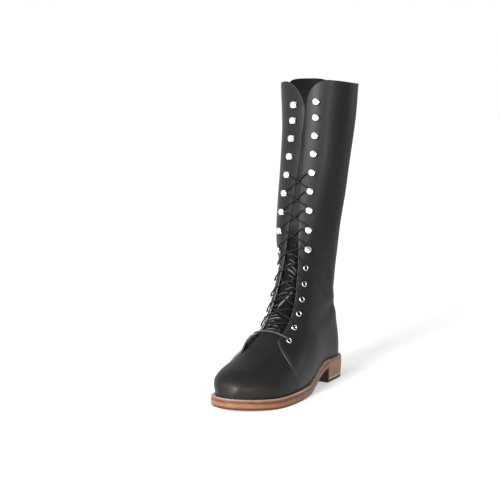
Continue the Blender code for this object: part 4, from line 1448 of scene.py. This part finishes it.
def strand(first_side, goes_high):
    """Half of the lace from its lowest eyelet to its last hook, crossing from side to side."""
    eyelets = len(EYELET_HEIGHTS)
    heights = {side: stop_heights(side) for side in (LATERAL, MEDIAL)}
    count = len(heights[LATERAL])
    z = heights[first_side][0]
    points = [facing_spot(first_side, z, d, lift) for d, lift in ((0.4, -2.2), (2.0, -3.5), (6.0, -3.5))]
    side = first_side
    for stop in range(1, count):
        low_z = heights[side][stop - 1]
        high_z = heights[-side][stop]
        if 1 < stop <= eyelets:
            points += over_flange(side, low_z, high_z)
        elif stop == 1:
            points.append(facing_spot(side, low_z + 2, FACING_MARGIN + 1.0, -2.6))
        high = goes_high == (stop % 2 == 0)
        if stop < eyelets:
            points.append(crossing(low_z, high_z, EYELET_CROSSING[high]))
            points.append(facing_spot(-side, high_z - 3, FACING_MARGIN + 4.0, -0.9))
            points += up_through_eyelet(-side, high_z)
        else:
            points.append(crossing(low_z, high_z, HOOK_CROSSING[high]))
            points += round_hook(-side, high_z)
        side = -side
    tucked = [hook_spot(side, heights[side][-1], *step) for step in ((-1.2, 1.3, 2.6), (0.6, 1.9, 2.65))]
    return points[:-4] + tucked


def bar_points():
    """Lowest bar: out of the inner eyelet, over the curled edge and straight across to the outer eyelet."""
    z = EYELET_HEIGHTS[0]
    u = section_at(z)
    eyelet = [(0.1, -0.6), (0.5, 1.0), (2.0, 2.05)]
    inner = eyelet + [(4.6, 2.2), (8.5, 2.8), (FACING_MARGIN - 0.5, 3.7)]
    outer = eyelet + [(4.6, 2.0), (8.5, 1.35), (FACING_MARGIN - 0.5, 1.15)]
    start = [facing_spot(MEDIAL, z, *step) for step in inner]
    middle = [SKIN.over(u, arc, lift) for arc, lift in ((-9.0, 1.4), (0.0, 0.6), (9.0, 0.7))]
    end = [facing_spot(LATERAL, z, *step) for step in reversed(outer)]
    return start + middle + end


def lace_route():
    """Whole lace: up one strand's way in reverse, over the lowest bar and up the other strand."""
    return strand(MEDIAL, True)[::-1] + bar_points() + strand(LATERAL, False)


def rounded_route(points, step):
    """Points at even steps on a smooth curve through a route."""
    points = np.asarray(points, float)
    ends = np.concatenate([[2 * points[0] - points[1]], points, [2 * points[-1] - points[-2]]])
    pieces = []
    t = np.linspace(0, 1, 24, endpoint=False)[:, None]
    for a, b, c, d in zip(ends, ends[1:], ends[2:], ends[3:]):
        pieces.append(0.5 * (2 * b + (c - a) * t + (2 * a - 5 * b + 4 * c - d) * t**2
                             + (3 * b - a - 3 * c + d) * t**3))
    curve = np.concatenate(pieces + [points[-1:]])
    reach = arc_length(curve)
    return along(curve, np.linspace(0, reach[-1], int(reach[-1] / step)))


def carried_frames(line):
    """Two directions square to a line at each of its points, carried along it without twist."""
    runs = unit(np.gradient(line, axis=0))
    first = unit(np.cross(runs[0], (0.3, 0.5, 0.8)))
    sides = []
    for run in runs:
        first = unit(first - run * np.dot(first, run))
        sides.append(first)
    sides = np.array(sides)
    return sides, np.cross(runs, sides)


def add_lace(material):
    """Braided lace through the eyelets and round the hooks, as one cord."""
    line = rounded_route(lace_route(), LACE_STEP)
    sides, ups = carried_frames(line)
    turns = np.linspace(0, 2 * np.pi, LACE_AROUND, endpoint=False)
    reach = np.arange(len(line)) * LACE_STEP * 2 * np.pi / BRAID_PITCH
    braid = np.cos(3 * turns[None] + 2 * reach[:, None]) * np.cos(3 * turns[None] - 2 * reach[:, None])
    radius = LACE_RADIUS * (1 + BRAID_RELIEF * braid)
    radius[[0, -1]] *= LACE_TAPER
    rings = line[:, None] + radius[..., None] * (
        sides[:, None] * np.cos(turns)[None, :, None] + ups[:, None] * np.sin(turns)[None, :, None])
    points, faces = loft(rings)
    bar = bar_points()
    middle = np.argmin(np.linalg.norm(line - bar[len(bar) // 2], axis=1))
    # Painted highlight along the lowest bar
    rub_and_sheen = 1 - ease(*LACE_SHEEN_REACH, np.abs(np.arange(len(line)) - middle) * LACE_STEP)
    marks = {"wear_and_sheen": np.repeat(rub_and_sheen, LACE_AROUND)}
    nodes = ["lace_bar"] + [f"lace_crossing_{k + 1}" for k in range(len(stop_heights(LATERAL)) - 1)]
    add_piece("lace", points, faces, [material], nodes, marks, sharp=LACE_SHARP)


# Sole

OUTLINE_CUTS = 150
SOLE_COLUMNS = 10

# Outsole's edge from its upper face round to its tread: inset from the outline and rise over the underside
OUTSOLE_EDGE = [
    (5.0, OUTSOLE - 0.02), (0.5, OUTSOLE - 0.02), (0.22, OUTSOLE - 0.08), (0.06, OUTSOLE - 0.24),
    (0.0, OUTSOLE - 0.5), (0.0, OUTSOLE * 0.62), (0.0, OUTSOLE * 0.45), (0.0, 1.7), (0.16, 1.1), (0.5, 0.6),
    (1.0, 0.25), (1.7, 0.05), (3.0, 0.0), (8.0, 0.0),
]
FLUSH_INSET = 1.8  # the lower edge's lines up to this inset lie flush with the heel
FLUSH_END = (HEEL_LENGTH - 6, HEEL_LENGTH + 10)  # distances from the back of the heel over which that ends
SEAT_TONE_END = (HEEL_LENGTH - 8, HEEL_LENGTH)  # and the heel's tone on the sole's edge
BARE_TREAD = (112.0, 146.0)  # over which the dark waist gives way to the bare tread
TREAD_LEVEL = 0.001  # what lies below this share of the sole's height is its underside


def outline_ring(inset, top):
    """Outer and inner side of a line inset from the sole's outline, each from heel to toe."""
    turns = np.linspace(0, np.pi, OUTLINE_CUTS + 1)
    s = inset + (FOOT_LENGTH - 2 * inset) * (1 - np.cos(turns)) / 2
    outer = sole_axis(s) + half_width(LATERAL, s, inset, inset, FOOT_LENGTH - inset)
    inner = sole_axis(s) - half_width(MEDIAL, s, inset, inset, FOOT_LENGTH - inset)
    height = top(s)
    first = np.stack([outer, s, height], axis=1)
    second = np.stack([inner, s, height], axis=1)
    return first, second


def plate(levels):
    """Closed plate through outline lines given as (outer, inner) pairs, its two ends filled across."""
    rings = [np.concatenate([outer, inner[-2:0:-1]]) for outer, inner in levels]
    points, faces = loft(rings)
    faces = faces[:-2]
    count = len(rings[0])
    half = len(levels[0][0])
    for level, (outer, inner) in ((0, levels[0]), (len(levels) - 1, levels[-1])):
        start = len(points)
        shares = np.linspace(0, 1, SOLE_COLUMNS + 1)[1:-1]
        middle = outer[1:-1, None] * (1 - shares)[None, :, None] + inner[1:-1, None] * shares[None, :, None]
        points = np.concatenate([points, middle.reshape(-1, 3)])
        numbers = start + np.arange(middle.shape[0] * middle.shape[1]).reshape(middle.shape[:2])
        left = level * count + np.arange(1, half - 1)
        right = level * count + (count - np.arange(1, half - 1))
        rows = np.concatenate([left[:, None], numbers, right[:, None]], axis=1)
        faces += grid_faces(rows)
        for tip, edge_row in ((level * count, rows[0]), (level * count + half - 1, rows[-1])):
            faces += [[tip, int(a), int(b)] for a, b in zip(edge_row, edge_row[1:])]
    return points, faces


def level_mark(points, low, high):
    """Share of the way up between two heights that run along the sole."""
    s = CENTRE_S - points[:, 1]
    return np.clip((points[:, 2] - low(s)) / (high(s) - low(s)), 0, 1)


def edge_rings(inset, rise):
    """Outline lines of the outsole at an inset and a rise, flush with the heel over the heel seat."""
    flush = rise < OUTSOLE / 2 and inset < FLUSH_INSET
    lines = []
    for drawn_in, full in zip(outline_ring(inset, underside), outline_ring(0.0, underside)):
        free = ease(*FLUSH_END, full[:, 1:2]) if flush else 1.0
        lines.append(full + (drawn_in - full) * free + (0.0, 0.0, rise))
    return tuple(lines)


def add_outsole(material):
    """Leather outsole with its edge rounded above and bevelled below."""
    points, faces = plate([edge_rings(inset, rise) for inset, rise in OUTSOLE_EDGE])
    points = place(points)
    s = CENTRE_S - points[:, 1]
    level = level_mark(points, underside, sole_top)
    marks = {
        "level": level,
        "seat": 1 - ease(*SEAT_TONE_END, s),
        "tread": (level < TREAD_LEVEL) * ease(*BARE_TREAD, s),
    }
    add_piece(
        "outsole_leather", points, faces, [material], ["outsole"], marks, sharp=SOLE_SHARP)


def rim_stations(start, outline_tip, inner_tip, count):
    """Pairs of outer and inner points of a strip under the feather line, round one end of the sole."""
    runs = {}
    for side in (LATERAL, MEDIAL):
        turns = np.sin(np.linspace(0, np.pi / 2, count))
        outer_s = start + (outline_tip - start) * turns
        inner_s = start + (inner_tip - start) * turns
        outer_x = sole_axis(outer_s) + side * half_width(side, outer_s)
        inner_x = sole_axis(inner_s) + side * feather_half(side, inner_s, WELT_TUCK)
        outer = np.stack([outer_x, outer_s, sole_top(outer_s)], axis=1)
        inner = np.stack([inner_x, inner_s, sole_top(inner_s)], axis=1)
        runs[side] = np.stack([outer, inner], axis=1)
    return np.concatenate([runs[LATERAL], runs[MEDIAL][-2::-1]])


# Cross-section of welt and rand: distance in from the edge and height over the outsole
STITCH_LINE = 2.3  # middle of the groove for the welt's stitches
GROOVE = 3.32  # and its floor
STRIP_TOP = 3.5
WELT_PROFILE = [
    (0.02, 0.16), (0.0, 0.5), (0.0, 2.6), (0.08, 3.05), (0.28, 3.38), (0.60, STRIP_TOP), (1.4, STRIP_TOP),
    (1.9, 3.38), (STITCH_LINE, GROOVE), (2.7, 3.38), (3.2, STRIP_TOP), (5.0, 3.55),
]
RAND_PROFILE = [
    (0.02, 0.16), (0.08, 0.5), (0.35, 1.3), (0.8, 2.1), (1.4, 2.8), (2.1, 3.25), (2.8, 3.45),
    (3.4, STRIP_TOP), (5.0, 3.55),
]
STRIP_FOOT = 0.02  # height of its lower face
STRIP_LOW_EDGE = [(0.6, STRIP_FOOT), (0.15, 0.05)]
STRIP_INNER = 0.4  # the profile ends this far from the strip's inner edge
TOE_SHEEN_LOSS = 0.6  # the welt's painted highlight line is fainter round the toe
TOE_SHEEN_FADE = (165.0, 215.0)  # from the heel
STRIP_STATIONS = 130


def strip_rings(stations, section_line):
    """Closed cross-sections of a strip at its stations."""
    rings = []
    for outer, inner in stations:
        run = inner - outer
        wide = np.linalg.norm(run[:2])
        profile = [spot for spot in section_line if spot[0] < wide - STRIP_INNER]
        profile += [section_line[-1]] * (len(section_line) - len(profile))
        profile += [(wide, STRIP_TOP), (wide, STRIP_FOOT)] + STRIP_LOW_EDGE
        depths, heights = np.array(profile).T
        depths = np.minimum(depths, wide)
        ring = outer + np.outer(depths / wide, run)
        ring[:, 2] = outer[2] + (inner[2] - outer[2]) * depths / wide + heights
        rings.append(ring)
    return np.array(rings)


def add_strip(name, start, outline_tip, inner_tip, section_line, material, node):
    """Welt or rand: a strip between upper and outsole."""
    stations = rim_stations(start, outline_tip, inner_tip, STRIP_STATIONS)
    points, faces = loft(strip_rings(stations, section_line))
    points = place(points)
    plain = np.zeros(len(points))
    marks = {
        "level": level_mark(points, sole_top, feather_top),
        "corner_sheen_share": 1 - TOE_SHEEN_LOSS * ease(*TOE_SHEEN_FADE, CENTRE_S - points[:, 1]),
        "join": plain,
        "rub_and_highlight": plain,
    }
    add_piece(name, points, faces, [material], [node], marks, sharp=SOLE_SHARP)
    return stations


HEEL_CUTS = 60
HEEL_LIFTS = 3
HEEL_GAP = 0.02  # that the stack and the top piece each keep from their joint
SEAT_GAP = 0.05  # and the stack from the outsole
JOIN_DEPTH = 0.06
JOIN_WIDTH = 0.22
HIGHLIGHT_LINE = (0.4, 1.5)  # heights over the top piece between which a pale painted highlight line runs on the stack
LINE_HIGHLIGHT = 0.9
BREAST_STEPS = 14
BREAST_CURVE = 1.6  # the breast's middle is hollowed this much
BREAST_SHADE = (HEEL_LENGTH - 4.0, HEEL_LENGTH - 2.5)  # where the breast's painted shade starts, from the back of the heel
END_SHARES = (0.03, 0.5, 0.9)  # rings that fill an end, by their share of its outline

# Top piece from its tread up: height and inset
TOP_PIECE_PROFILE = [
    (0.0, 1.0), (0.12, 0.55), (0.45, 0.18), (1.0, 0.0), (2.0, -0.05), (TOP_PIECE - 0.6, 0.0),
    (TOP_PIECE - 0.2, 0.12), (TOP_PIECE - HEEL_GAP, 0.4),
]

# Insole from the middle of its face over its edge: inset and rise
INSOLE_EDGE = [(10.0, 0.0), (1.2, -0.02), (0.5, -0.2), (0.12, -0.6), (0.0, -1.2), (0.0, -INSOLE)]


def heel_ring(scale, z, inset=0.0):
    """Closed outline of the heel at a height, drawn in by its scale and then by an inset."""
    turns = HEEL_LENGTH * np.sin(np.linspace(0, np.pi / 2, HEEL_CUTS))
    s = HEEL_LENGTH - turns
    outer = np.stack([sole_axis(s) + half_width(LATERAL, s), s], axis=1)
    inner = np.stack([sole_axis(s) - half_width(MEDIAL, s), s], axis=1)
    shares = np.linspace(0, 1, BREAST_STEPS + 1)[1:-1, None]
    breast = inner[0] * (1 - shares) + outer[0] * shares
    breast[:, 1] -= BREAST_CURVE * np.sin(np.pi * shares[:, 0])
    line = np.concatenate([outer, inner[-2::-1], breast])
    middle = line.mean(axis=0)
    half = (line.max(axis=0) - line.min(axis=0)) / 2
    ring = middle + (line - middle) * (scale - inset / half)
    return np.concatenate([ring, np.full((len(ring), 1), z)], axis=1)


def heel_scale(z):
    """Taper of the heel at height z."""
    return 1 - (1 - HEEL_TAPER) * (1 - z / HEEL_LIFT)


def filled_rings(rings):
    """Loft through rings whose two ends are filled towards their middles."""
    ends = []
    for ring in (rings[0], rings[-1]):
        middle = ring.mean(axis=0)
        ends.append([middle + (ring - middle) * share for share in END_SHARES])
    return loft(np.array(ends[0] + list(rings) + ends[1][::-1]))


def add_heel_stack(material):
    """Stacked heel of three lifts, with fine joins between them."""
    low = TOP_PIECE + HEEL_GAP
    lift = (HEEL_LIFT - SEAT_GAP - low) / HEEL_LIFTS
    # Lines round one lift: rise, inset and darkness
    profile = [
        (0.0, JOIN_DEPTH, 0.45), (JOIN_WIDTH, 0.03, 0.1), (0.5, 0.0, 0.0), (1.3, 0.0, 0.0), (1.9, 0.0, 0.0),
        (lift - 0.5, 0.0, 0.0), (lift - JOIN_WIDTH, 0.03, 0.1),
    ]
    lines = []
    for number in range(HEEL_LIFTS):
        lines += [(low + number * lift + rise, inset, join) for rise, inset, join in profile]
    lines.append((low + HEEL_LIFTS * lift, 0.0, 0.15))
    heights, insets, joins = map(list, zip(*lines))
    rings = [heel_ring(heel_scale(z), z, inset) for z, inset in zip(heights, insets)]
    line_highlights = [LINE_HIGHLIGHT * (HIGHLIGHT_LINE[0] < z - low < HIGHLIGHT_LINE[1]) for z in heights]
    points, faces = filled_rings(rings)
    around = len(rings[0])
    # Painted shade on the heel's breast, stored with the dark joins
    breast = ease(*BREAST_SHADE, points[:, 1])
    dark = [1.0] * len(END_SHARES)
    plain = [0.0] * len(END_SHARES)
    marks = {
        "join": np.maximum(np.repeat(dark + joins + dark, around), breast),
        "rub_and_highlight": np.repeat(plain + line_highlights + plain, around) * (1 - breast),
    }
    add_piece(
        "heel_lifts", place(points), faces, [material], ["heel_stack"], marks,
        sharp=SOLE_SHARP)


def add_top_piece(material):
    """Rubber wearing layer under the heel."""
    points, faces = filled_rings([heel_ring(heel_scale(z), z, inset) for z, inset in TOP_PIECE_PROFILE])
    add_piece(
        "heel_rubber_piece", place(points), faces, [material], ["heel_top_piece"],
        sharp=SOLE_SHARP)


def add_insole(material):
    """Insole inside the upper's rim, with a softly rounded edge."""
    levels = []
    turns = np.linspace(0, np.pi, OUTLINE_CUTS + 1)
    for edge_inset, rise in INSOLE_EDGE:
        inset = INSOLE_INSET + edge_inset
        start = FEATHER_START + inset
        s = start + (FEATHER_END - inset - start) * (1 - np.cos(turns)) / 2
        height = feather_top(s) + INSOLE_RISE + rise
        sides = []
        for side in (LATERAL, MEDIAL):
            sides.append(np.stack([sole_axis(s) + side * feather_half(side, s, inset), s, height], axis=1))
        levels.append(tuple(sides))
    points, faces = plate(levels)
    add_piece(
        "insole_leather", place(points), faces, [material], ["insole"], sharp=SOLE_SHARP)


# Stitches

Thread = namedtuple("Thread", "pitch length radius sink")
UPPER_THREAD = Thread(3.0, 2.3, 0.24, 0.02)
WELT_THREAD = Thread(3.4, 2.7, 0.42, 0.10)
THREAD_AROUND = 6
THREAD_STEPS = 5
THREAD_DIVE = 1.4  # how far a stitch's ends go down, in radii
THREAD_POINT = 0.35  # least share of the radius at its ends
THROAT_STITCHES = 3.2  # rows of stitches, in from the edge that they follow
FRONT_STITCHES = (2.2, 4.6)
COLLAR_STITCHES = 4.0
COLLAR_END = 6.0  # from the back seam
SEAM_STITCHES = 3.0
THROAT_SPAN = (7.9, LAST - 0.065)  # sections at the ends of a row
SEAM_SPAN = (BACK_SEAM_START + 0.1, LAST - 0.1)
FRONT_SPAN = (0.02, 0.97)  # shares of the way from the throat to the feather line
ROW_CUTS = {"throat": 500, "front": 160, "collar": 300, "seam": 400}


def stitch_row(line, outs, thread):
    """Separate stitches along a line of points with outward directions."""
    reach = arc_length(line)
    count = int(reach[-1] / thread.pitch)
    middles = (np.arange(count) + 0.5) * reach[-1] / count
    before = along(line, middles - thread.length / 2)
    after = along(line, middles + thread.length / 2)
    centres = along(line, middles)
    out = unit(along_values(outs, reach, middles))
    run = unit(after - before)
    side = unit(np.cross(out, run))
    turns = np.linspace(0, 2 * np.pi, THREAD_AROUND, endpoint=False)
    spans = np.linspace(-1, 1, THREAD_STEPS)
    parts = []
    for centre, o, r, e in zip(centres, out, run, side):
        rings = []
        for span in spans:
            girth = thread.radius * max(THREAD_POINT, math.sqrt(1 - span**2 * 0.95))
            rise = thread.radius * (1 - THREAD_DIVE * span**2) - thread.sink
            middle = centre + r * span * thread.length / 2 + o * rise
            rings.append(middle + girth * (np.outer(np.cos(turns), e) + np.outer(np.sin(turns), o)))
        parts.append(loft(rings))
    return parts


def facing_line(side, u, distance):
    """Line on a quarter at section numbers u and distances from the throat's edge."""
    points, out = SKIN.read(u, side * (throat_edge(u, side) + distance))
    points[..., 2] -= collar_drop(side, points[..., 2], distance)
    return points, out


def quarter_front_line(side, inset):
    """Line on a quarter at an inset from its front edge."""
    shares = np.linspace(*FRONT_SPAN, ROW_CUTS["front"])
    front = quarter_front(shares, side)
    u = front + inset / FOOT_GAP
    edge = throat_edge(u, side)
    points, out = SKIN.read(u, side * (edge + (SKIN.reach(u, side) - edge) * shares))
    lift = front_lift(u, front, shares, side) + edge_curl(u, inset, side)
    return points + out * lift[:, None], out


def add_upper_stitches(material):
    """Rows along the throat, the collar, the quarters' front edges and the back seam."""
    parts = []
    for side in (LATERAL, MEDIAL):
        u = np.linspace(*THROAT_SPAN, ROW_CUTS["throat"])
        parts += stitch_row(*facing_line(side, u, np.full(len(u), THROAT_STITCHES)), UPPER_THREAD)
        for inset in FRONT_STITCHES:
            parts += stitch_row(*quarter_front_line(side, inset), UPPER_THREAD)
        top = LAST - COLLAR_STITCHES / SHAFT_GAP
        end = SKIN.reach(top, side) - throat_edge(top, side) - COLLAR_END
        distance = np.linspace(COLLAR_STITCHES, end, ROW_CUTS["collar"])
        parts += stitch_row(*facing_line(side, np.full(len(distance), top), distance), UPPER_THREAD)
        u = np.linspace(*SEAM_SPAN, ROW_CUTS["seam"])
        back = SKIN.reach(u, side) - throat_edge(u, side) - SEAM_STITCHES
        parts += stitch_row(*facing_line(side, u, back), UPPER_THREAD)
    points, faces = gather(parts)
    add_piece("upper_stitches", points, faces, [material], [], sharp=THREAD_SHARP)


def add_welt_stitches(stations, material):
    """Stitches in the welt's groove."""
    run = stations[:, 1] - stations[:, 0]
    wide = np.linalg.norm(run[:, :2], axis=1, keepdims=True)
    line = stations[:, 0] + run * STITCH_LINE / wide
    line[:, 2] += GROOVE
    line = place(line)
    outs = np.tile((0.0, 0.0, 1.0), (len(line), 1))
    points, faces = gather(stitch_row(line, outs, WELT_THREAD))
    add_piece("welt_stitches", points, faces, [material], [], sharp=THREAD_SHARP)


# Stage

FLOOR_REACH = 60.0
Light = namedtuple("Light", "name place aim size power")
LIGHTS = [
    Light("key", (-1.30, -1.45, 1.15), (0.0, 0.0, 0.20), (0.9, 0.9), 10.0),
    Light("front", (0.0, -2.60, 0.95), (0.0, -0.10, 0.05), (0.75, 0.52), 130.0),
    Light("toe", (0.0, -2.56, 0.94), (0.0, -0.10, 0.05), (0.32, 0.20), 26.0),
    Light("side", (1.58, -1.16, 0.24), (0.0, 0.0, 0.25), (0.6, 0.5), 15.0),
    Light("rim", (1.10, 1.80, 0.40), (0.05, 0.08, 0.34), (0.55, 0.30), 2.0),
]
SUN_POWER = 0.5
SUN_SPREAD = 30.0
SUN_WAY = (0.75, 1.35, -1.7)


def add_camera():
    """Camera at the photo's viewing angle."""
    camera = bpy.data.objects.new("camera", bpy.data.cameras.new("camera"))
    bpy.context.scene.collection.objects.link(camera)
    camera.location = CAMERA_PLACE
    look = Vector(CAMERA_TARGET) - Vector(CAMERA_PLACE)
    camera.rotation_euler = look.to_track_quat("-Z", "Y").to_euler()
    camera.data.sensor_width = CAMERA_SENSOR
    camera.data.lens = CAMERA_LENS
    bpy.context.scene.camera = camera


def add_light(light):
    """Soft light panel aimed at a point."""
    lamp = bpy.data.lights.new(light.name, "AREA")
    lamp.shape = "RECTANGLE"
    lamp.size, lamp.size_y = light.size
    lamp.energy = light.power
    panel = bpy.data.objects.new(light.name, lamp)
    bpy.context.scene.collection.objects.link(panel)
    panel.location = light.place
    panel.rotation_euler = (Vector(light.aim) - Vector(light.place)).to_track_quat("-Z", "Y").to_euler()


def add_sun():
    """Faint soft light from the front and above."""
    sun = bpy.data.objects.new("sun", bpy.data.lights.new("sun", "SUN"))
    bpy.context.scene.collection.objects.link(sun)
    sun.data.energy = SUN_POWER
    sun.data.angle = math.radians(SUN_SPREAD)
    sun.rotation_euler = Vector(SUN_WAY).to_track_quat("-Z", "Y").to_euler()


def add_floor():
    """Pale floor to the horizon."""
    corners = [(-1, -1), (1, -1), (1, 1), (-1, 1)]
    mesh = bpy.data.meshes.new("floor")
    mesh.from_pydata([(x * FLOOR_REACH, y * FLOOR_REACH, 0) for x, y in corners], [], [(0, 1, 2, 3)])
    mesh.materials.append(finish("pale_floor", pale_floor))
    floor = bpy.data.objects.new("floor", mesh)
    bpy.context.scene.collection.objects.link(floor)


def surroundings(wire):
    """White round the horizon, dimmer overhead and to the outer side."""
    direction = wire.add("TexCoord", output="Generated")
    overhead = wire.towards(direction, (0.0, 0.0, 1.0)).rise(0.22, 0.60)
    aside = wire.towards(direction, ROOM_DIM_WAY).rise(0.25, 0.60)
    shade = wire.maths("MAXIMUM", overhead, aside)
    return shade.mix((1.0, 1.0, 1.0), (0.36, 0.36, 0.36))


def add_stage():
    """Floor, plain surroundings and studio lights."""
    add_floor()
    world = bpy.data.worlds.new("studio")
    bpy.context.scene.world = world
    world.use_nodes = True
    wire = Wire(world.node_tree)
    wire.plug(world.node_tree.nodes["Background"].inputs["Color"], surroundings(wire))
    bpy.context.scene.view_settings.view_transform = "Standard"
    for light in LIGHTS:
        add_light(light)
    add_sun()


def main():
    """Stage, then the boot's pieces from the upper down to the sole."""
    add_camera()
    add_stage()
    leather = [
        finish("black_leather", upper_leather),
        finish("flesh_side", flesh_side),
        finish("raw_edge", raw_edge),
    ]
    tongue = [finish("tongue_leather", tongue_leather), leather[FLESH_SIDE], leather[CUT_EDGE]]
    stack = finish("heel_leather", heel_leather)
    add_vamp(leather)
    add_quarters(leather)
    add_tongue(tongue)
    add_eyelets(finish("eyelet_nickel", eyelet_nickel))
    add_hooks(finish("bright_nickel", bright_nickel))
    add_lace(finish("lace_cord", lace_cord))
    add_outsole(finish("sole_leather", sole_leather))
    welt = add_strip(
        "welt_strip", RAND_START + 0.3, FOOT_LENGTH, FEATHER_END - WELT_TUCK, WELT_PROFILE,
        finish("welt_leather", welt_leather), "welt")
    add_strip(
        "rand_strip", RAND_START, 0.0, FEATHER_START + WELT_TUCK, RAND_PROFILE, stack,
        "heel_rand")
    add_heel_stack(stack)
    add_top_piece(finish("heel_rubber", heel_rubber))
    add_insole(finish("insole_leather", insole_leather))
    add_upper_stitches(finish("black_thread", black_thread))
    add_welt_stitches(welt, finish("welt_thread", welt_thread))


main()
bpy.context.view_layer.update()
